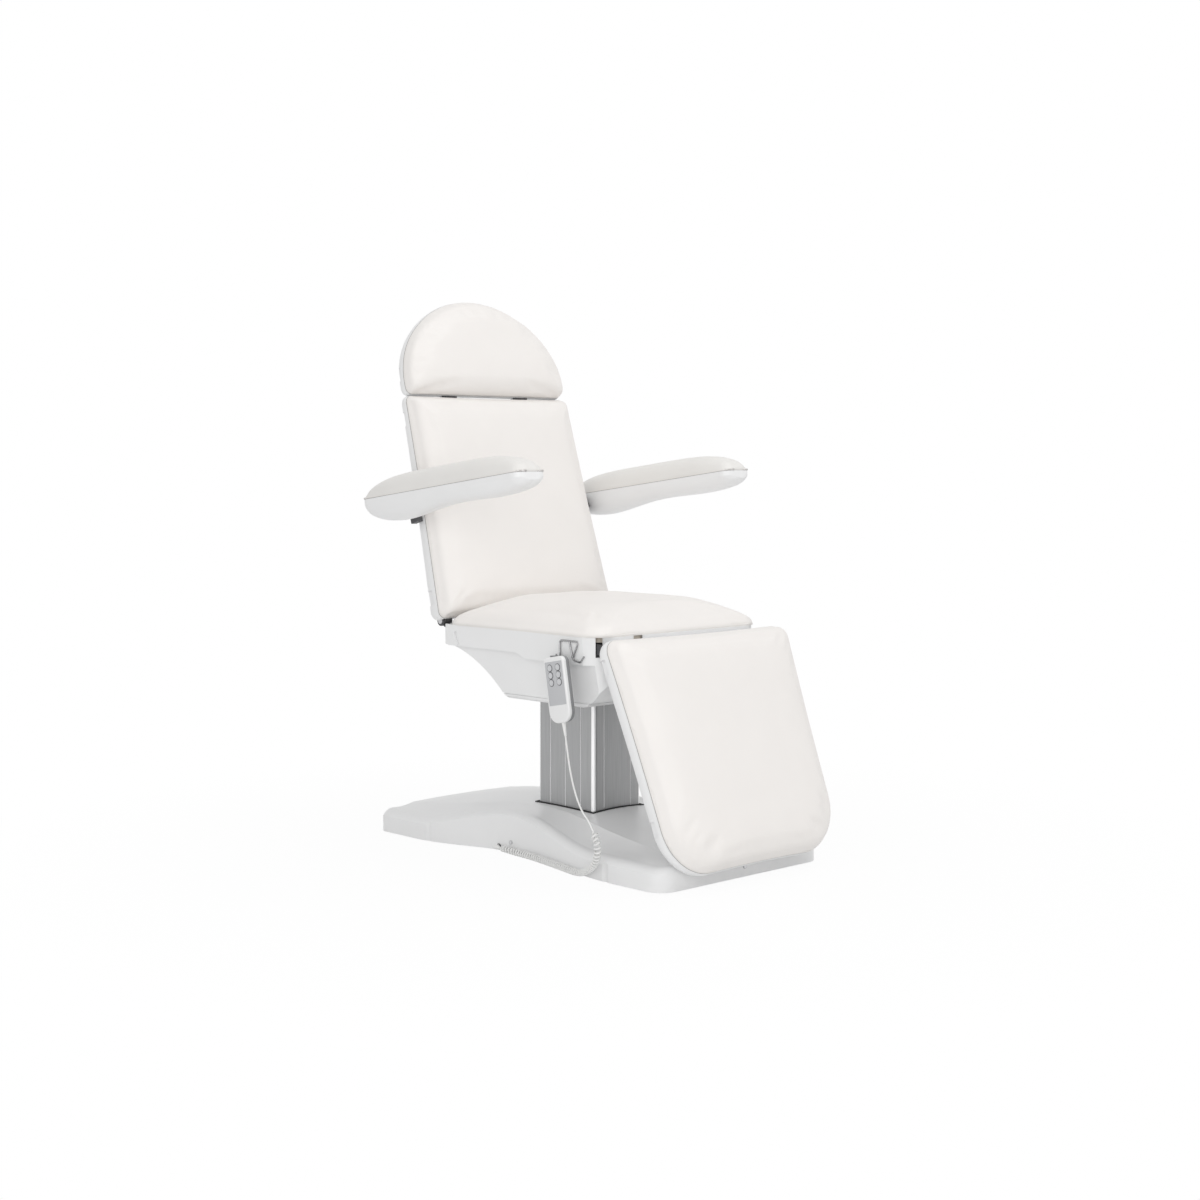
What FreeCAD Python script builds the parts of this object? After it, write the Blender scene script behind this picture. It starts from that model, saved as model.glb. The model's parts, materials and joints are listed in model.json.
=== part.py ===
import FreeCAD, Part
import math
import os

# Electric beauty chair. Lengths are millimetres and angles are degrees.
# Shapes are drawn about the lifting column's axis on the floor: +Z is up and the sitter faces -Y.
# The sitter's right is -X, where the handset hangs.
# Exported parts are moved by frame_y, so that the origin is under the middle of the whole chair.

V = FreeCAD.Vector

# Frame
frame_y = 41.05

# Fits
seat_gap = 0.3
running_clearance = 0.05
sheet_wall = 4.0
board_gap = 1.0
overshoot = 10.0

# Base cover: waisted in plan, low at both ends, high round the column
base_front = -506.0
base_rear = 497.0
cover_end = 60.0
waist_y = 60.0
waist_half = 201.0
front_half = 270.0
rear_half = 262.0
front_swell = 440.0
rear_swell = 270.0
crest_swell = 300.0
front_corner = 45.0
rear_corner = 28.0
base_edge = 16.0
skirt_end = 42.0
skirt_waist = 90.0
cover_crown = 106.0
cover_rear = 64.0
cover_front = 52.0
cover_lift = 3.0
shoulder_width = 30.0
shoulder_rise = 16.0
lip_inset = 66.0
flute_radius = 24.0
flute_depth = 2.5
flute_rear_y = 297.0
flute_front_y = -330.0

# Base frame and feet
foot_radius = 22.0
foot_height = 10.0
foot_stem = 6.0
beam_bottom = 14.0
beam_height = 26.0
beam_width = 50.0
cross_beam_y = 380.0
cross_beam_half = 212.0
rail_x = 60.0
foot_x = 190.0
foot_plate_height = 10.0
foot_plate_x = 100.0
foot_plate_y = 128.0
tab_width = 24.0
screw_z = 26.0
screw_radius = 2.0
screw_head = 5.0
screw_head_height = 2.5

# Lifting column
column_x = 160.0
column_y = 196.0
column_wall = 5.0
column_corner = 12.0
stage_gap = 2.0
column_top = 372.0
groove_width = 2.4
groove_depth = 1.2
flange_height = 8.0
bolt_radius = 5.0
bolt_head = 8.0
bolt_head_height = 7.0
bolt_x = 90.0
bolt_y = 112.0
seal_width = 6.0
seal_height = 14.0
seal_proud = 2.0
seal_corner = 3.0
glide_height = 44.0
glide_width = 60.0
glide_foot = 4.0
motor_tube = 26.0
motor_bore = 16.0
motor_top = 330.0
spindle_radius = 12.0
spindle_bottom = 130.0
spindle_head = 40.0
spindle_head_height = 12.0
spindle_room = 40.0
gearbox_half = 34.0
gearbox_depth = 70.0
gearbox_height = 60.0
middle_foot = 14.0
inner_foot = 20.0
inner_corner = 4.0

# Seat underbody
tub_top = 542.0
tub_bottom = 378.0
tub_rear = 232.0
tub_front = -318.0
tub_lip = 47.0
tub_lip_radius = 16.0
tub_scoop = 19.0
tub_heel_y = 18.0
tub_toe_y = -205.0
tub_toe_z = 452.0
tub_toe_bulge = 18.0
band_proud = 6.0
band_rear_height = 50.0
band_front_height = 63.0
band_step_y = -57.0
band_step_run = 24.0
frame_room = 12.0
keel_draw = 18.0
tub_keel_radius = 16.0
tub_front_corner = 70.0
tub_rear_corner = 30.0
tub_line_height = 11.0
tub_line_width = 2.0
tub_line_depth = 1.5
slot_y = 172.5
slot_z = 511.0
slot_height = 36.0
slot_width = 10.0
slot_depth = 5.0
slot_lean = 24.0
ear_slot_rear = 60.0
ear_slot_front = 40.0
rod_slot_front = 90.0
rod_room = 22.0

# Seat
board_thickness = 12.0
seat_overhang = 3.0
seat_rear = 226.0
seat_front = -317.0
seat_crown = 66.0
seat_corner = 60.0
seat_rear_share = 0.6
seat_front_share = 0.7
seat_tuck_low = 541.0
seat_tuck_high = 577.0
seat_tuck_y = 188.0
frame_tube = 30.0
frame_half = 258.0
frame_rear = 188.0
frame_front = -284.0
head_plate_height = 8.0
head_plate_x = 100.0
head_plate_y = 110.0
web_x = 84.0
web_thickness = 8.0
cross_bar_y = 70.0

# Hinges
hinge_pin = 8.0
hinge_ear = 13.0
ear_thickness = 8.0
lug_gap = 1.0
web_rise = 4.0
web_cap = 14.0
hinge_clear = 60.0
back_hinge_y = 244.0
back_hinge_z = 548.0
leg_hinge_y = -338.0
leg_hinge_z = 518.0

# Backrest, measured in its seam plane from the lower edge
back_y = 229.0
back_z = 554.0
back_lean = 16.1
back_length = 566.5
back_half_low = 284.0
back_half_high = 266.0
back_crown = 50.0
back_depth_low = 38.0
back_depth_high = 24.0
back_corner = 16.0
panel_board = 10.0
panel_rail = 30.0
panel_rail_depth = 9.0
rail_outer = 235.0
rail_inset = 24.0

# Headrest
head_gap = 4.0
head_axis_depth = 8.0
head_half = 261.0
head_length = 256.0
head_top_radius = 278.0
head_side_radius = 200.0
head_corner = 16.0
head_crown = 46.0
head_depth = 24.0
head_pin = 4.0
head_lug = 7.0
head_lug_x = 120.0
head_lug_width = 28.0
head_lug_plate = 8.0
pin_end = 2.0
leaf_margin = 20.0
leaf_start = 26.0
leaf_end = 90.0
leaf_thickness = 4.0
knuckle_arm = 40.0
head_lug_room = 26.0

# Armrests
arm_x = 346.0
arm_rear_y = 399.0
arm_rear_z = 829.5
arm_rise = 7.16
arm_length = 582.0
arm_corner = 24.0
arm_half = 46.0
arm_depth_rear = 53.0
arm_depth_middle = 27.0
arm_depth_front = 31.0
arm_rim = 11.0
arm_crown = 54.0
arm_pivot_s = 280.0
arm_pivot_t = -17.5
arm_pivot_radius = 7.0
pivot_plate = 16.0
pivot_plate_low = 34.0
pivot_plate_high = 20.0
pivot_plate_half = 13.0

# Leg rest, measured in its seam plane from the upper edge
leg_y = -352.6
leg_z = 540.2
leg_lean = 21.3
leg_length = 537.0
leg_half_high = 295.0
leg_half_low = 268.0
leg_corner_high = 30.0
leg_corner_low = 110.0
leg_crown = 52.0
leg_depth = 33.0
leg_rail_first = 32.0
leg_rail_end = 90.0

# Pads
seam_draw = 1.5
side_draw = 2.5
corner_growth = 0.4
panel_waist = 0.3
panel_brow = 0.88
panel_edge = 28.0
panel_deep = 120.0
head_deep = 92.0
seat_waist = 0.15
seat_brow = 0.76
seat_edge = 90.0
seat_deep = 140.0

# Panel shells
notch_depth = 10.0
notch_length = 36.0
notch_rim = 10.0
notch_round = 6.0
notch_from_end = 56.0
leg_notch_from_end = 115.0

# Motors under the seat
actuator_radius = 24.0
actuator_x = 150.0
actuator_bore = 10.0
rod_radius = 9.0
eye_width = 12.0
eye_wall = 6.0
crank_pin = 5.0
crank_play = 2.0
crank_plate = 8.0
crank_bar = 11.0
crank_slot = 70.0
fork_reach = 60.0
motor_lug = 10.0
back_bore = 150.0
leg_bore = 130.0
back_rod_start = 60.0
leg_rod_start = -40.0
back_actuator_z = 474.0
leg_actuator_z = 450.0
back_crank_y = 47.0
back_crank_z = -62.5
leg_crank_y = 42.3
leg_crank_z = -61.9
back_motor_front = -150.0
back_motor_rear = 84.0
leg_motor_front = -150.0
leg_motor_rear = 46.0
control_length = 150.0
control_width = 76.0
control_height = 40.0
control_front = -196.0

# Handset
handset_reach = 31.0
handset_y = -226.0
handset_z = 424.0
handset_tilt = 10.4
handset_length = 148.0
handset_width = 67.0
handset_depth = 22.0
handset_split = 9.0
handset_corner = 12.0
handset_chin = 26.0
panel_width = 57.0
panel_length = 98.0
panel_thickness = 1.5
panel_top = 64.0
key_radius = 6.8
key_height = 1.8
key_travel = 0.8
key_pitch_x = 26.0
key_pitch_y = 16.5
key_first = 50.0
relief_length = 30.0
relief_top = 5.0
hook_wire = 2.0
hook_bend = 5.5
hook_y = -195.0
hook_top = 531.0
hook_valley = 487.0
hook_span = 60.0
hook_meet = 42.0
hook_branch = 31.0
hook_arm = 25.0
hook_tip = 14.0
clip_width = 14.0
clip_height = 9.0

# Handset cord
cord_radius = 2.0
cord_gap = 0.1
coil_radius = 6.3
coil_turns = 56
coil_lead_in = 1.0
lead_run = 34.0
lead_end_run = 24.0
coil_clear = 0.3
socket_y = 100.0
socket_z = 11.5
socket_radius = 6.5
socket_length = 26.0
socket_lip = 2.5
plug_radius = 5.0
plug_offset = 9.0
plug_length = 18.0
plug_neck = 3.0

# Sizes worked out from those above
column_foot = beam_bottom + beam_height + foot_plate_height
middle_x = column_x - 2 * column_wall - 2 * stage_gap
middle_y = column_y - 2 * column_wall - 2 * stage_gap
inner_x = middle_x - 2 * column_wall - 2 * stage_gap
inner_y = middle_y - 2 * column_wall - 2 * stage_gap
body_half = frame_half + frame_room
keel_half = body_half - keel_draw
band_half = body_half + band_proud
seat_half = band_half + seat_overhang
handset_x = -band_half - handset_reach
tub_floor = tub_bottom + sheet_wall
head_plate_z = tub_floor + flange_height
seat_board_z = tub_top - board_thickness
seat_rail_z = seat_board_z - frame_tube
ear_x = frame_half - ear_thickness / 2
glide_thickness = stage_gap - seat_gap
arm_pivot_reach = arm_x - arm_pivot_radius / 2
hinge_bar_half = ear_x + 1.5 * ear_thickness + lug_gap
head_pin_reach = head_lug_width / 2 + lug_gap + head_lug_plate + pin_end
head_room_half = head_pin_reach + lug_gap
back_notches = (notch_from_end, back_length - notch_from_end)
head_notches = (notch_from_end,)
leg_notches = (notch_from_end, leg_length - leg_notch_from_end)


def box(x0, x1, y0, y1, z0, z1):
    return Part.makeBox(x1 - x0, y1 - y0, z1 - z0, V(x0, y0, z0))


def rod(start, end, radius):
    return Part.makeCylinder(radius, (end - start).Length, start, end - start)


def mirrored(shape):
    return shape.mirror(V(0, 0, 0), V(1, 0, 0))


def pair(shape):
    return [shape, mirrored(shape)]


def fuse(shapes):
    whole = shapes[0].fuse(shapes[1:]) if len(shapes) > 1 else shapes[0]
    return whole.removeSplitter()


def export(name, shapes):
    """Writes one node from a solid, or from a list of separate solids."""
    solids = shapes if isinstance(shapes, list) else [shapes]
    whole = solids[0] if len(solids) == 1 else Part.makeCompound(solids)
    for solid in whole.Solids:
        if not solid.isValid():
            print("not valid:", name)
    if len(whole.Solids) != len(solids):
        print("solids:", name, len(whole.Solids), "of", len(solids))
    whole.translate(V(0, frame_y, 0))
    whole.exportStep("parts/" + name + ".step")


def placement(origin, along, normal):
    """Carries a shape drawn with Y along a panel and Z out of its face to the panel's place."""
    across = along.cross(normal)
    matrix = FreeCAD.Matrix(
        across.x, along.x, normal.x, origin.x,
        across.y, along.y, normal.y, origin.y,
        across.z, along.z, normal.z, origin.z,
        0, 0, 0, 1)
    return FreeCAD.Placement(matrix)


def placed(shape, place):
    moved = shape.copy()
    moved.Placement = place.multiply(moved.Placement)
    return moved


def outline(corners, height, sag=0.0):
    """Closed wire with round corners (x, y, radius); its sides curve inward by sag."""
    cuts = []
    count = len(corners)
    for i in range(count):
        x, y, radius = corners[i]
        before = V(corners[i - 1][0] - x, corners[i - 1][1] - y, 0).normalize()
        after = V(corners[(i + 1) % count][0] - x, corners[(i + 1) % count][1] - y, 0).normalize()
        half = before.getAngle(after) / 2
        reach = radius / math.tan(half)
        middle = (before + after).normalize() * (radius / math.sin(half) - radius)
        corner = V(x, y, 0)
        cuts.append((corner + before * reach, corner + middle, corner + after * reach))

    def lift(point):
        return V(point.x, point.y, height(point.y))

    edges = []
    for i in range(count):
        start, middle, end = cuts[i]
        edges.append(Part.Arc(lift(start), lift(middle), lift(end)).toShape())
        arrive = cuts[(i + 1) % count][0]
        side = arrive - end
        if sag:
            inward = V(-side.y, side.x, 0).normalize() * sag
            edges.append(Part.Arc(lift(end), lift((end + arrive) * 0.5 + inward), lift(arrive)).toShape())
        else:
            edges.append(Part.LineSegment(lift(end), lift(arrive)).toShape())
    return Part.Wire(edges)


def tapered(half_start, half_end, length, corner_start, corner_end, inset):
    """Corners of a panel that tapers along Y, drawn in by inset and rounder as it draws in."""
    near = corner_start + inset * corner_growth
    far = corner_end + inset * corner_growth
    a = half_start - inset
    b = half_end - inset
    return [(-a, inset, near), (a, inset, near), (b, length - inset, far), (-b, length - inset, far)]


def head_wire(inset, height):
    """Outline of the headrest: square below, with a side arc and a top arc above."""
    squeeze_x = (head_half - inset) / head_half
    squeeze_y = (head_length - 2 * inset) / head_length
    top_centre = head_length - head_top_radius
    side_x = head_half - head_side_radius
    spread = head_top_radius - head_side_radius
    side_y = top_centre + math.sqrt(spread ** 2 - side_x ** 2)
    turn = math.atan2(side_y - top_centre, side_x)
    slant = math.sqrt(0.5)

    def point(x, y):
        level = inset + y * squeeze_y
        return V(x * squeeze_x, level, height(level))

    def half_edges(side):
        """Points of one half's corner, side and shoulder, from the lower edge up."""
        corner = head_corner
        inner = head_half - corner
        start = point(side * inner, 0)
        middle = point(side * (inner + corner * slant), corner - corner * slant)
        end = point(side * head_half, corner)
        rise = point(side * head_half, side_y)
        bend = point(side * (side_x + head_side_radius * math.cos(turn / 2)),
                     side_y + head_side_radius * math.sin(turn / 2))
        join = point(side * head_top_radius * math.cos(turn), top_centre + head_top_radius * math.sin(turn))
        return [(start, middle, end), (end, rise), (rise, bend, join)]

    right, left = half_edges(1), half_edges(-1)
    edges = [curve((left[0][0], right[0][0]))]
    edges += [curve(points) for points in right]
    edges.append(curve((right[2][2], point(0, head_length), left[2][2])))
    edges += [curve(tuple(reversed(points))) for points in reversed(left)]
    return Part.Wire(edges)


def curve(points):
    if len(points) == 3:
        return Part.Arc(*points).toShape()
    return Part.LineSegment(*points).toShape()


def stack(wires):
    return Part.makeLoft(wires, True, False)


def pad_levels(crown, edge, deep, waist_share, brow_share):
    """Heights and insets of a pad's outlines: drawn-in side and round edge, then a gently rising face."""
    waist = waist_share * crown
    brow = brow_share * crown
    side = [(0.0, seam_draw), (0.5 * waist, 0.2 * seam_draw), (waist, 0.0)]
    for angle in (20, 40, 60, 76):
        turn = math.radians(angle)
        side.append((waist + (brow - waist) * math.sin(turn), edge * (1 - math.cos(turn))))
    height, inset = side[-1]
    steps = 3
    face = [side[-1]]
    for i in range(1, steps + 1):
        share = i / steps
        face.append((height + (crown - height) * (1 - (1 - share) ** 2), inset + (deep - inset) * share))
    return side, face


def cushion(wire_at, crown, edge, deep, waist_share=panel_waist, brow_share=panel_brow):
    """A pad whose sides are drawn in at the seam and whose face rises to a crown."""
    parts = []
    for levels in pad_levels(crown, edge, deep, waist_share, brow_share):
        parts.append(stack([wire_at(inset, lambda y, z=z: z) for z, inset in levels]))
    return parts[0].fuse(parts[1])


def pan(wire_at, depth_at, half_at, notch_sites):
    """A shell behind a pad: an open tray with a rounded back, side notches and an even wall."""
    levels = [(0.0, 0.0), (0.7, 1.0), (0.9, 4.5), (1.0, 12.0)]
    outer = stack([wire_at(inset, lambda y, k=k: -k * depth_at(y)) for k, inset in levels])
    inner = stack([
        wire_at(inset + sheet_wall, lambda y, k=k: -k * (depth_at(y) - sheet_wall))
        for k, inset in levels])
    outer = outer.cut(side_notches(half_at, depth_at, notch_sites, 0.0))
    inner = inner.cut(side_notches(half_at, depth_at, notch_sites, sheet_wall))
    return outer.cut(inner)


def side_notches(half_at, depth_at, notch_sites, grow):
    notches = []
    for s in notch_sites:
        notches += pair(side_notch(half_at(s), s, depth_at(s), grow))
    return notches


def side_notch(half, s, depth, grow):
    """Rounded finger notch in the rear edge of a shell's side, made larger all round by grow."""
    reach = notch_length / 2 + grow
    tall = depth + 2 * overshoot
    top = grow - notch_rim
    notch = box(half - notch_depth - grow, half + 3 * overshoot, s - reach, s + reach, top - tall, top)
    edges = [edge for edge in notch.Edges if edge.BoundBox.XLength > 1 and edge.BoundBox.ZMin > -tall / 2]
    return notch.makeFillet(notch_round + grow, edges)


def flat(wire_at, inset, top, thickness):
    face = Part.Face(wire_at(inset, lambda y: top - thickness))
    return face.extrude(V(0, 0, thickness))


def ring(outer_x, outer_y, wall, corner, z0, z1):
    """Rectangular tube about the column's axis."""
    def wire(x, y, radius):
        corners = [(-x, -y, radius), (x, -y, radius), (x, y, radius), (-x, y, radius)]
        return Part.Face(outline(corners, lambda s: z0)).extrude(V(0, 0, z1 - z0))

    outside = wire(outer_x / 2, outer_y / 2, corner)
    inside = wire(outer_x / 2 - wall, outer_y / 2 - wall, max(corner - wall, 2.0))
    return outside.cut(inside)


# Base

def end_rounding(distance, radius):
    """How far a quarter round of this radius lies inside its edge, at a distance from the end."""
    if distance >= radius:
        return 0.0
    return radius - math.sqrt(radius ** 2 - (radius - distance) ** 2)


def plan_half(y):
    """Half the cover's width at y, before its corners are rounded."""
    reach = y - waist_y
    half, swell = (rear_half, rear_swell) if reach > 0 else (front_half, front_swell)
    share = (1 - math.cos(math.pi * min(abs(reach) / swell, 1.0))) / 2
    return waist_half + (half - waist_half) * share


def cover_section(y, inset):
    """Cross-section of the cover: skirt, shoulder, soft valley and domed top."""
    distance = min(y - base_front, base_rear - y) - inset
    corner = rear_corner if y > waist_y else front_corner
    half = plan_half(y) - inset - end_rounding(distance, corner - inset)
    waist_share = (1 + math.cos(math.pi * min(abs(y - waist_y) / crest_swell, 1.0))) / 2
    drop = end_rounding(distance, base_edge) + inset
    skirt = skirt_end + (skirt_waist - skirt_end) * waist_share - drop
    end_share = (abs(y) / base_rear) ** 2.6
    end_height = cover_rear if y > 0 else cover_front
    crown = cover_crown - (cover_crown - end_height) * end_share - drop
    shoulder = skirt + shoulder_rise * (1 - waist_share * 0.6)
    lip = half - shoulder_width - lip_inset + inset
    lip_z = shoulder + (crown - shoulder) * 0.72
    floor = cover_lift if inset == 0 else cover_lift - base_edge

    def mid(a, b, out, up):
        return ((a[0] + b[0]) / 2 + out, (a[1] + b[1]) / 2 + up)

    low = (half, floor)
    edge = (half, skirt)
    ridge = (half - shoulder_width, shoulder)
    rim = (lip, lip_z)
    bulge = mid(edge, ridge, 4.0, 3.0)
    hollow = mid(ridge, rim, 0.0, -3.0)

    def at(point, side):
        return V(side * point[0], y, point[1])

    edges = [Part.LineSegment(at(low, -1), at(low, 1)).toShape()]
    edges.append(Part.LineSegment(at(low, 1), at(edge, 1)).toShape())
    edges.append(Part.Arc(at(edge, 1), at(bulge, 1), at(ridge, 1)).toShape())
    edges.append(Part.Arc(at(ridge, 1), at(hollow, 1), at(rim, 1)).toShape())
    edges.append(Part.Arc(at(rim, 1), V(0, y, crown), at(rim, -1)).toShape())
    edges.append(Part.Arc(at(rim, -1), at(hollow, -1), at(ridge, -1)).toShape())
    edges.append(Part.Arc(at(ridge, -1), at(bulge, -1), at(edge, -1)).toShape())
    edges.append(Part.LineSegment(at(edge, -1), at(low, -1)).toShape())
    return Part.Wire(edges)


def cover_hull(inset):
    ends = [cover_end * share for share in (0, 1 / 15, 7 / 30, 1 / 2, 1)]
    front = [base_front + inset + d for d in ends]
    rear = [base_rear - inset - d for d in reversed(ends)]
    between = 8
    span = rear[0] - front[-1]
    middle = [front[-1] + span * i / between for i in range(1, between)]
    return stack([cover_section(y, inset) for y in front + middle + rear])


def cover_screw_sites():
    """Head centre and inward direction of each cover screw: two at the waist and one at each end."""
    return [
        (V(waist_half, waist_y, screw_z), V(-1, 0, 0)),
        (V(-waist_half, waist_y, screw_z), V(1, 0, 0)),
        (V(0, base_front, screw_z), V(0, 1, 0)),
        (V(0, base_rear, screw_z), V(0, -1, 0))]


inlet_x = 90.0
inlet_width = 48.0
inlet_height = 27.0
inlet_flange = 4.0
inlet_flange_thickness = 2.5
inlet_depth = 26.0
inlet_z = 25.0


def base_cover():
    cover = cover_hull(0).cut(cover_hull(sheet_wall))
    hole_x = column_x / 2 + seal_width
    hole_y = column_y / 2 + seal_width
    cuts = [box(-hole_x, hole_x, -hole_y, hole_y, column_foot, cover_crown + base_edge)]
    cuts.append(box(inlet_x - inlet_width / 2, inlet_x + inlet_width / 2, base_rear - inlet_depth,
                    base_rear + 1, inlet_z - inlet_height / 2, inlet_z + inlet_height / 2))
    outside = plan_half(socket_y)
    cuts.append(rod(V(-outside - 5, socket_y, socket_z), V(-outside + socket_length, socket_y, socket_z),
                    socket_radius))
    for site, inward in cover_screw_sites():
        cuts.append(rod(site - inward, site + inward * (sheet_wall + 1), screw_radius + seat_gap))
    for y in (flute_front_y, flute_rear_y):
        x = plan_half(y) + flute_radius - flute_depth
        cuts.extend(pair(rod(V(x, y, 0), V(x, y, cover_crown), flute_radius)))
    return cover.cut(cuts)


def base_frame():
    top = beam_bottom + beam_height
    parts = []
    for y in (-cross_beam_y, cross_beam_y):
        parts.append(box(-cross_beam_half, cross_beam_half, y - beam_width / 2, y + beam_width / 2,
                         beam_bottom, top))
    for x in (-rail_x, rail_x):
        parts.append(box(x - beam_width / 2, x + beam_width / 2, -cross_beam_y, cross_beam_y,
                         beam_bottom, top))
    parts.append(box(-foot_plate_x, foot_plate_x, -foot_plate_y, foot_plate_y, top, column_foot))
    tab = tab_width / 2
    low, high = screw_z - tab / 2, screw_z + tab / 2
    side_reach = waist_half - sheet_wall - seat_gap
    parts.append(box(-side_reach, side_reach, waist_y - tab, waist_y + tab, low, high))
    parts.append(box(-tab, tab, base_front + sheet_wall + board_gap, -cross_beam_y, low, high))
    parts.append(box(-tab, tab, cross_beam_y, base_rear - sheet_wall - seat_gap, low, high))
    cuts = []
    for x in (-bolt_x, bolt_x):
        for y in (-bolt_y, bolt_y):
            cuts.append(rod(V(x, y, top - 1), V(x, y, column_foot + 1), bolt_radius))
    for site, inward in cover_screw_sites():
        cuts.append(rod(site, site + inward * screw_length(), screw_radius))
    return fuse(parts).cut(cuts)


def screw_length():
    return sheet_wall + tab_width / 2


def levelling_feet():
    feet = []
    for x in (-foot_x, foot_x):
        for y in (-cross_beam_y, cross_beam_y):
            pad = Part.makeCone(foot_radius, foot_radius * 0.8, foot_height, V(x, y, 0))
            stem = rod(V(x, y, 0), V(x, y, beam_bottom), foot_stem)
            feet.append(fuse([pad, stem]))
    return feet


def cover_screws():
    screws = []
    for site, inward in cover_screw_sites():
        head = rod(site - inward * (seat_gap + screw_head_height), site - inward * seat_gap, screw_head)
        shank = rod(site - inward, site + inward * (screw_length() - 1), screw_radius)
        screws.append(fuse([head, shank]))
    return screws


def power_inlet():
    half_x, half_z = inlet_width / 2, inlet_height / 2
    body = box(inlet_x - half_x, inlet_x + half_x, base_rear - inlet_depth, base_rear,
               inlet_z - half_z, inlet_z + half_z)
    flange = box(inlet_x - half_x - inlet_flange, inlet_x + half_x + inlet_flange, base_rear,
                 base_rear + inlet_flange_thickness,
                 inlet_z - half_z - inlet_flange, inlet_z + half_z + inlet_flange)
    rim = 4.0
    well = box(inlet_x - half_x + rim, inlet_x + half_x - rim, base_rear - inlet_depth + rim,
               base_rear + inlet_flange_thickness, inlet_z - half_z + rim, inlet_z + half_z - rim)
    blades = []
    for offset in (-9.0, 0.0, 9.0):
        drop = 3.0 if offset == 0 else -2.0
        blades.append(box(inlet_x + offset - 1.2, inlet_x + offset + 1.2, base_rear - inlet_depth + rim,
                          base_rear - rim, inlet_z - drop - 3, inlet_z - drop + 3))
    return fuse([fuse([body, flange]).cut(well)] + blades)


def cord_socket():
    outside = plan_half(socket_y)
    collar = rod(V(-outside - socket_lip, socket_y, socket_z), V(-outside + socket_length, socket_y, socket_z),
                 socket_radius)
    return collar


# Lifting column

def column_outer():
    tube = ring(column_x, column_y, column_wall, column_corner, column_foot, column_top)
    flange = box(-foot_plate_x, foot_plate_x, -foot_plate_y, foot_plate_y,
                 column_foot, column_foot + flange_height)
    well_x, well_y = column_x / 2 - column_wall, column_y / 2 - column_wall
    flange = flange.cut(box(-well_x, well_x, -well_y, well_y, 0, column_top))
    cuts = []
    for x in (-bolt_x, bolt_x):
        for y in (-bolt_y, bolt_y):
            cuts.append(rod(V(x, y, column_foot), V(x, y, column_foot + flange_height), bolt_radius))
    low = column_foot + flange_height
    half = groove_width / 2
    for share in (-0.54, 0.0, 0.54):
        y = share * column_y / 2
        groove = box(column_x / 2 - groove_depth, column_x, y - half, y + half, low, column_top)
        cuts.extend(pair(groove))
    for share in (-0.56, 0.56):
        x = share * column_x / 2
        for side in (-1, 1):
            edge = side * column_y / 2
            inner = edge - side * groove_depth
            cuts.append(box(x - half, x + half, min(edge, inner), max(edge, inner), low, column_top))
    return fuse([tube, flange]).cut(cuts)


def column_bolts():
    bolts = []
    for x in (-bolt_x, bolt_x):
        for y in (-bolt_y, bolt_y):
            seat = column_foot + flange_height
            head = rod(V(x, y, seat), V(x, y, seat + bolt_head_height), bolt_head)
            shank = rod(V(x, y, column_foot - foot_plate_height), V(x, y, seat + 1), bolt_radius)
            bolts.append(fuse([head, shank]))
    return bolts


def column_seal():
    """Rubber collar round the column, trimmed to stand a little proud of the cover's top."""
    collar = ring(column_x + 2 * seal_width, column_y + 2 * seal_width, seal_width - seat_gap, seal_corner,
                  cover_crown - seal_height, cover_crown + base_edge)
    roof = cover_hull(0)
    roof.translate(V(0, 0, seal_proud))
    return collar.common(roof)


def lift_motor():
    tube = rod(V(0, 0, column_foot), V(0, 0, motor_top), motor_tube)
    bore = rod(V(0, 0, spindle_bottom - spindle_room), V(0, 0, motor_top), motor_bore)
    gearbox = box(-gearbox_half, gearbox_half, 0, gearbox_depth, column_foot, column_foot + gearbox_height)
    return fuse([tube, gearbox]).cut(bore)


def middle_tube():
    return ring(middle_x, middle_y, column_wall, column_corner - column_wall, column_foot + middle_foot,
                column_top + 2)


def inner_tube():
    tube = ring(inner_x, inner_y, column_wall, inner_corner, column_foot + inner_foot, tub_floor)
    flange = box(-head_plate_x, head_plate_x, -head_plate_y, head_plate_y, tub_floor, head_plate_z)
    well_x, well_y = inner_x / 2 - column_wall, inner_y / 2 - column_wall
    return fuse([tube, flange.cut(box(-well_x, well_x, -well_y, well_y, tub_floor, head_plate_z))])


def glides(outer_x, outer_y, foot):
    """Slip pads on the four faces of a moving stage, just clear of the tube round it."""
    low, high = foot + glide_foot, foot + glide_foot + glide_height
    half = glide_width / 2
    x, y = outer_x / 2, outer_y / 2
    return [
        box(x, x + glide_thickness, -half, half, low, high),
        box(-x - glide_thickness, -x, -half, half, low, high),
        box(-half, half, y, y + glide_thickness, low, high),
        box(-half, half, -y - glide_thickness, -y, low, high)]


def lift_spindle():
    screw = rod(V(0, 0, spindle_bottom), V(0, 0, head_plate_z), spindle_radius)
    head = rod(V(0, 0, head_plate_z - spindle_head_height), V(0, 0, head_plate_z), spindle_head)
    return fuse([screw, head])


# Seat

def side_view(points, x_half):
    """Prism across X from an outline in the YZ plane given as lines and three-point arcs."""
    edges = []
    for piece in points:
        edges.append(curve(tuple(V(-x_half, y, z) for y, z in piece)))
    return Part.Face(Part.Wire(edges)).extrude(V(2 * x_half, 0, 0))


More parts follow.
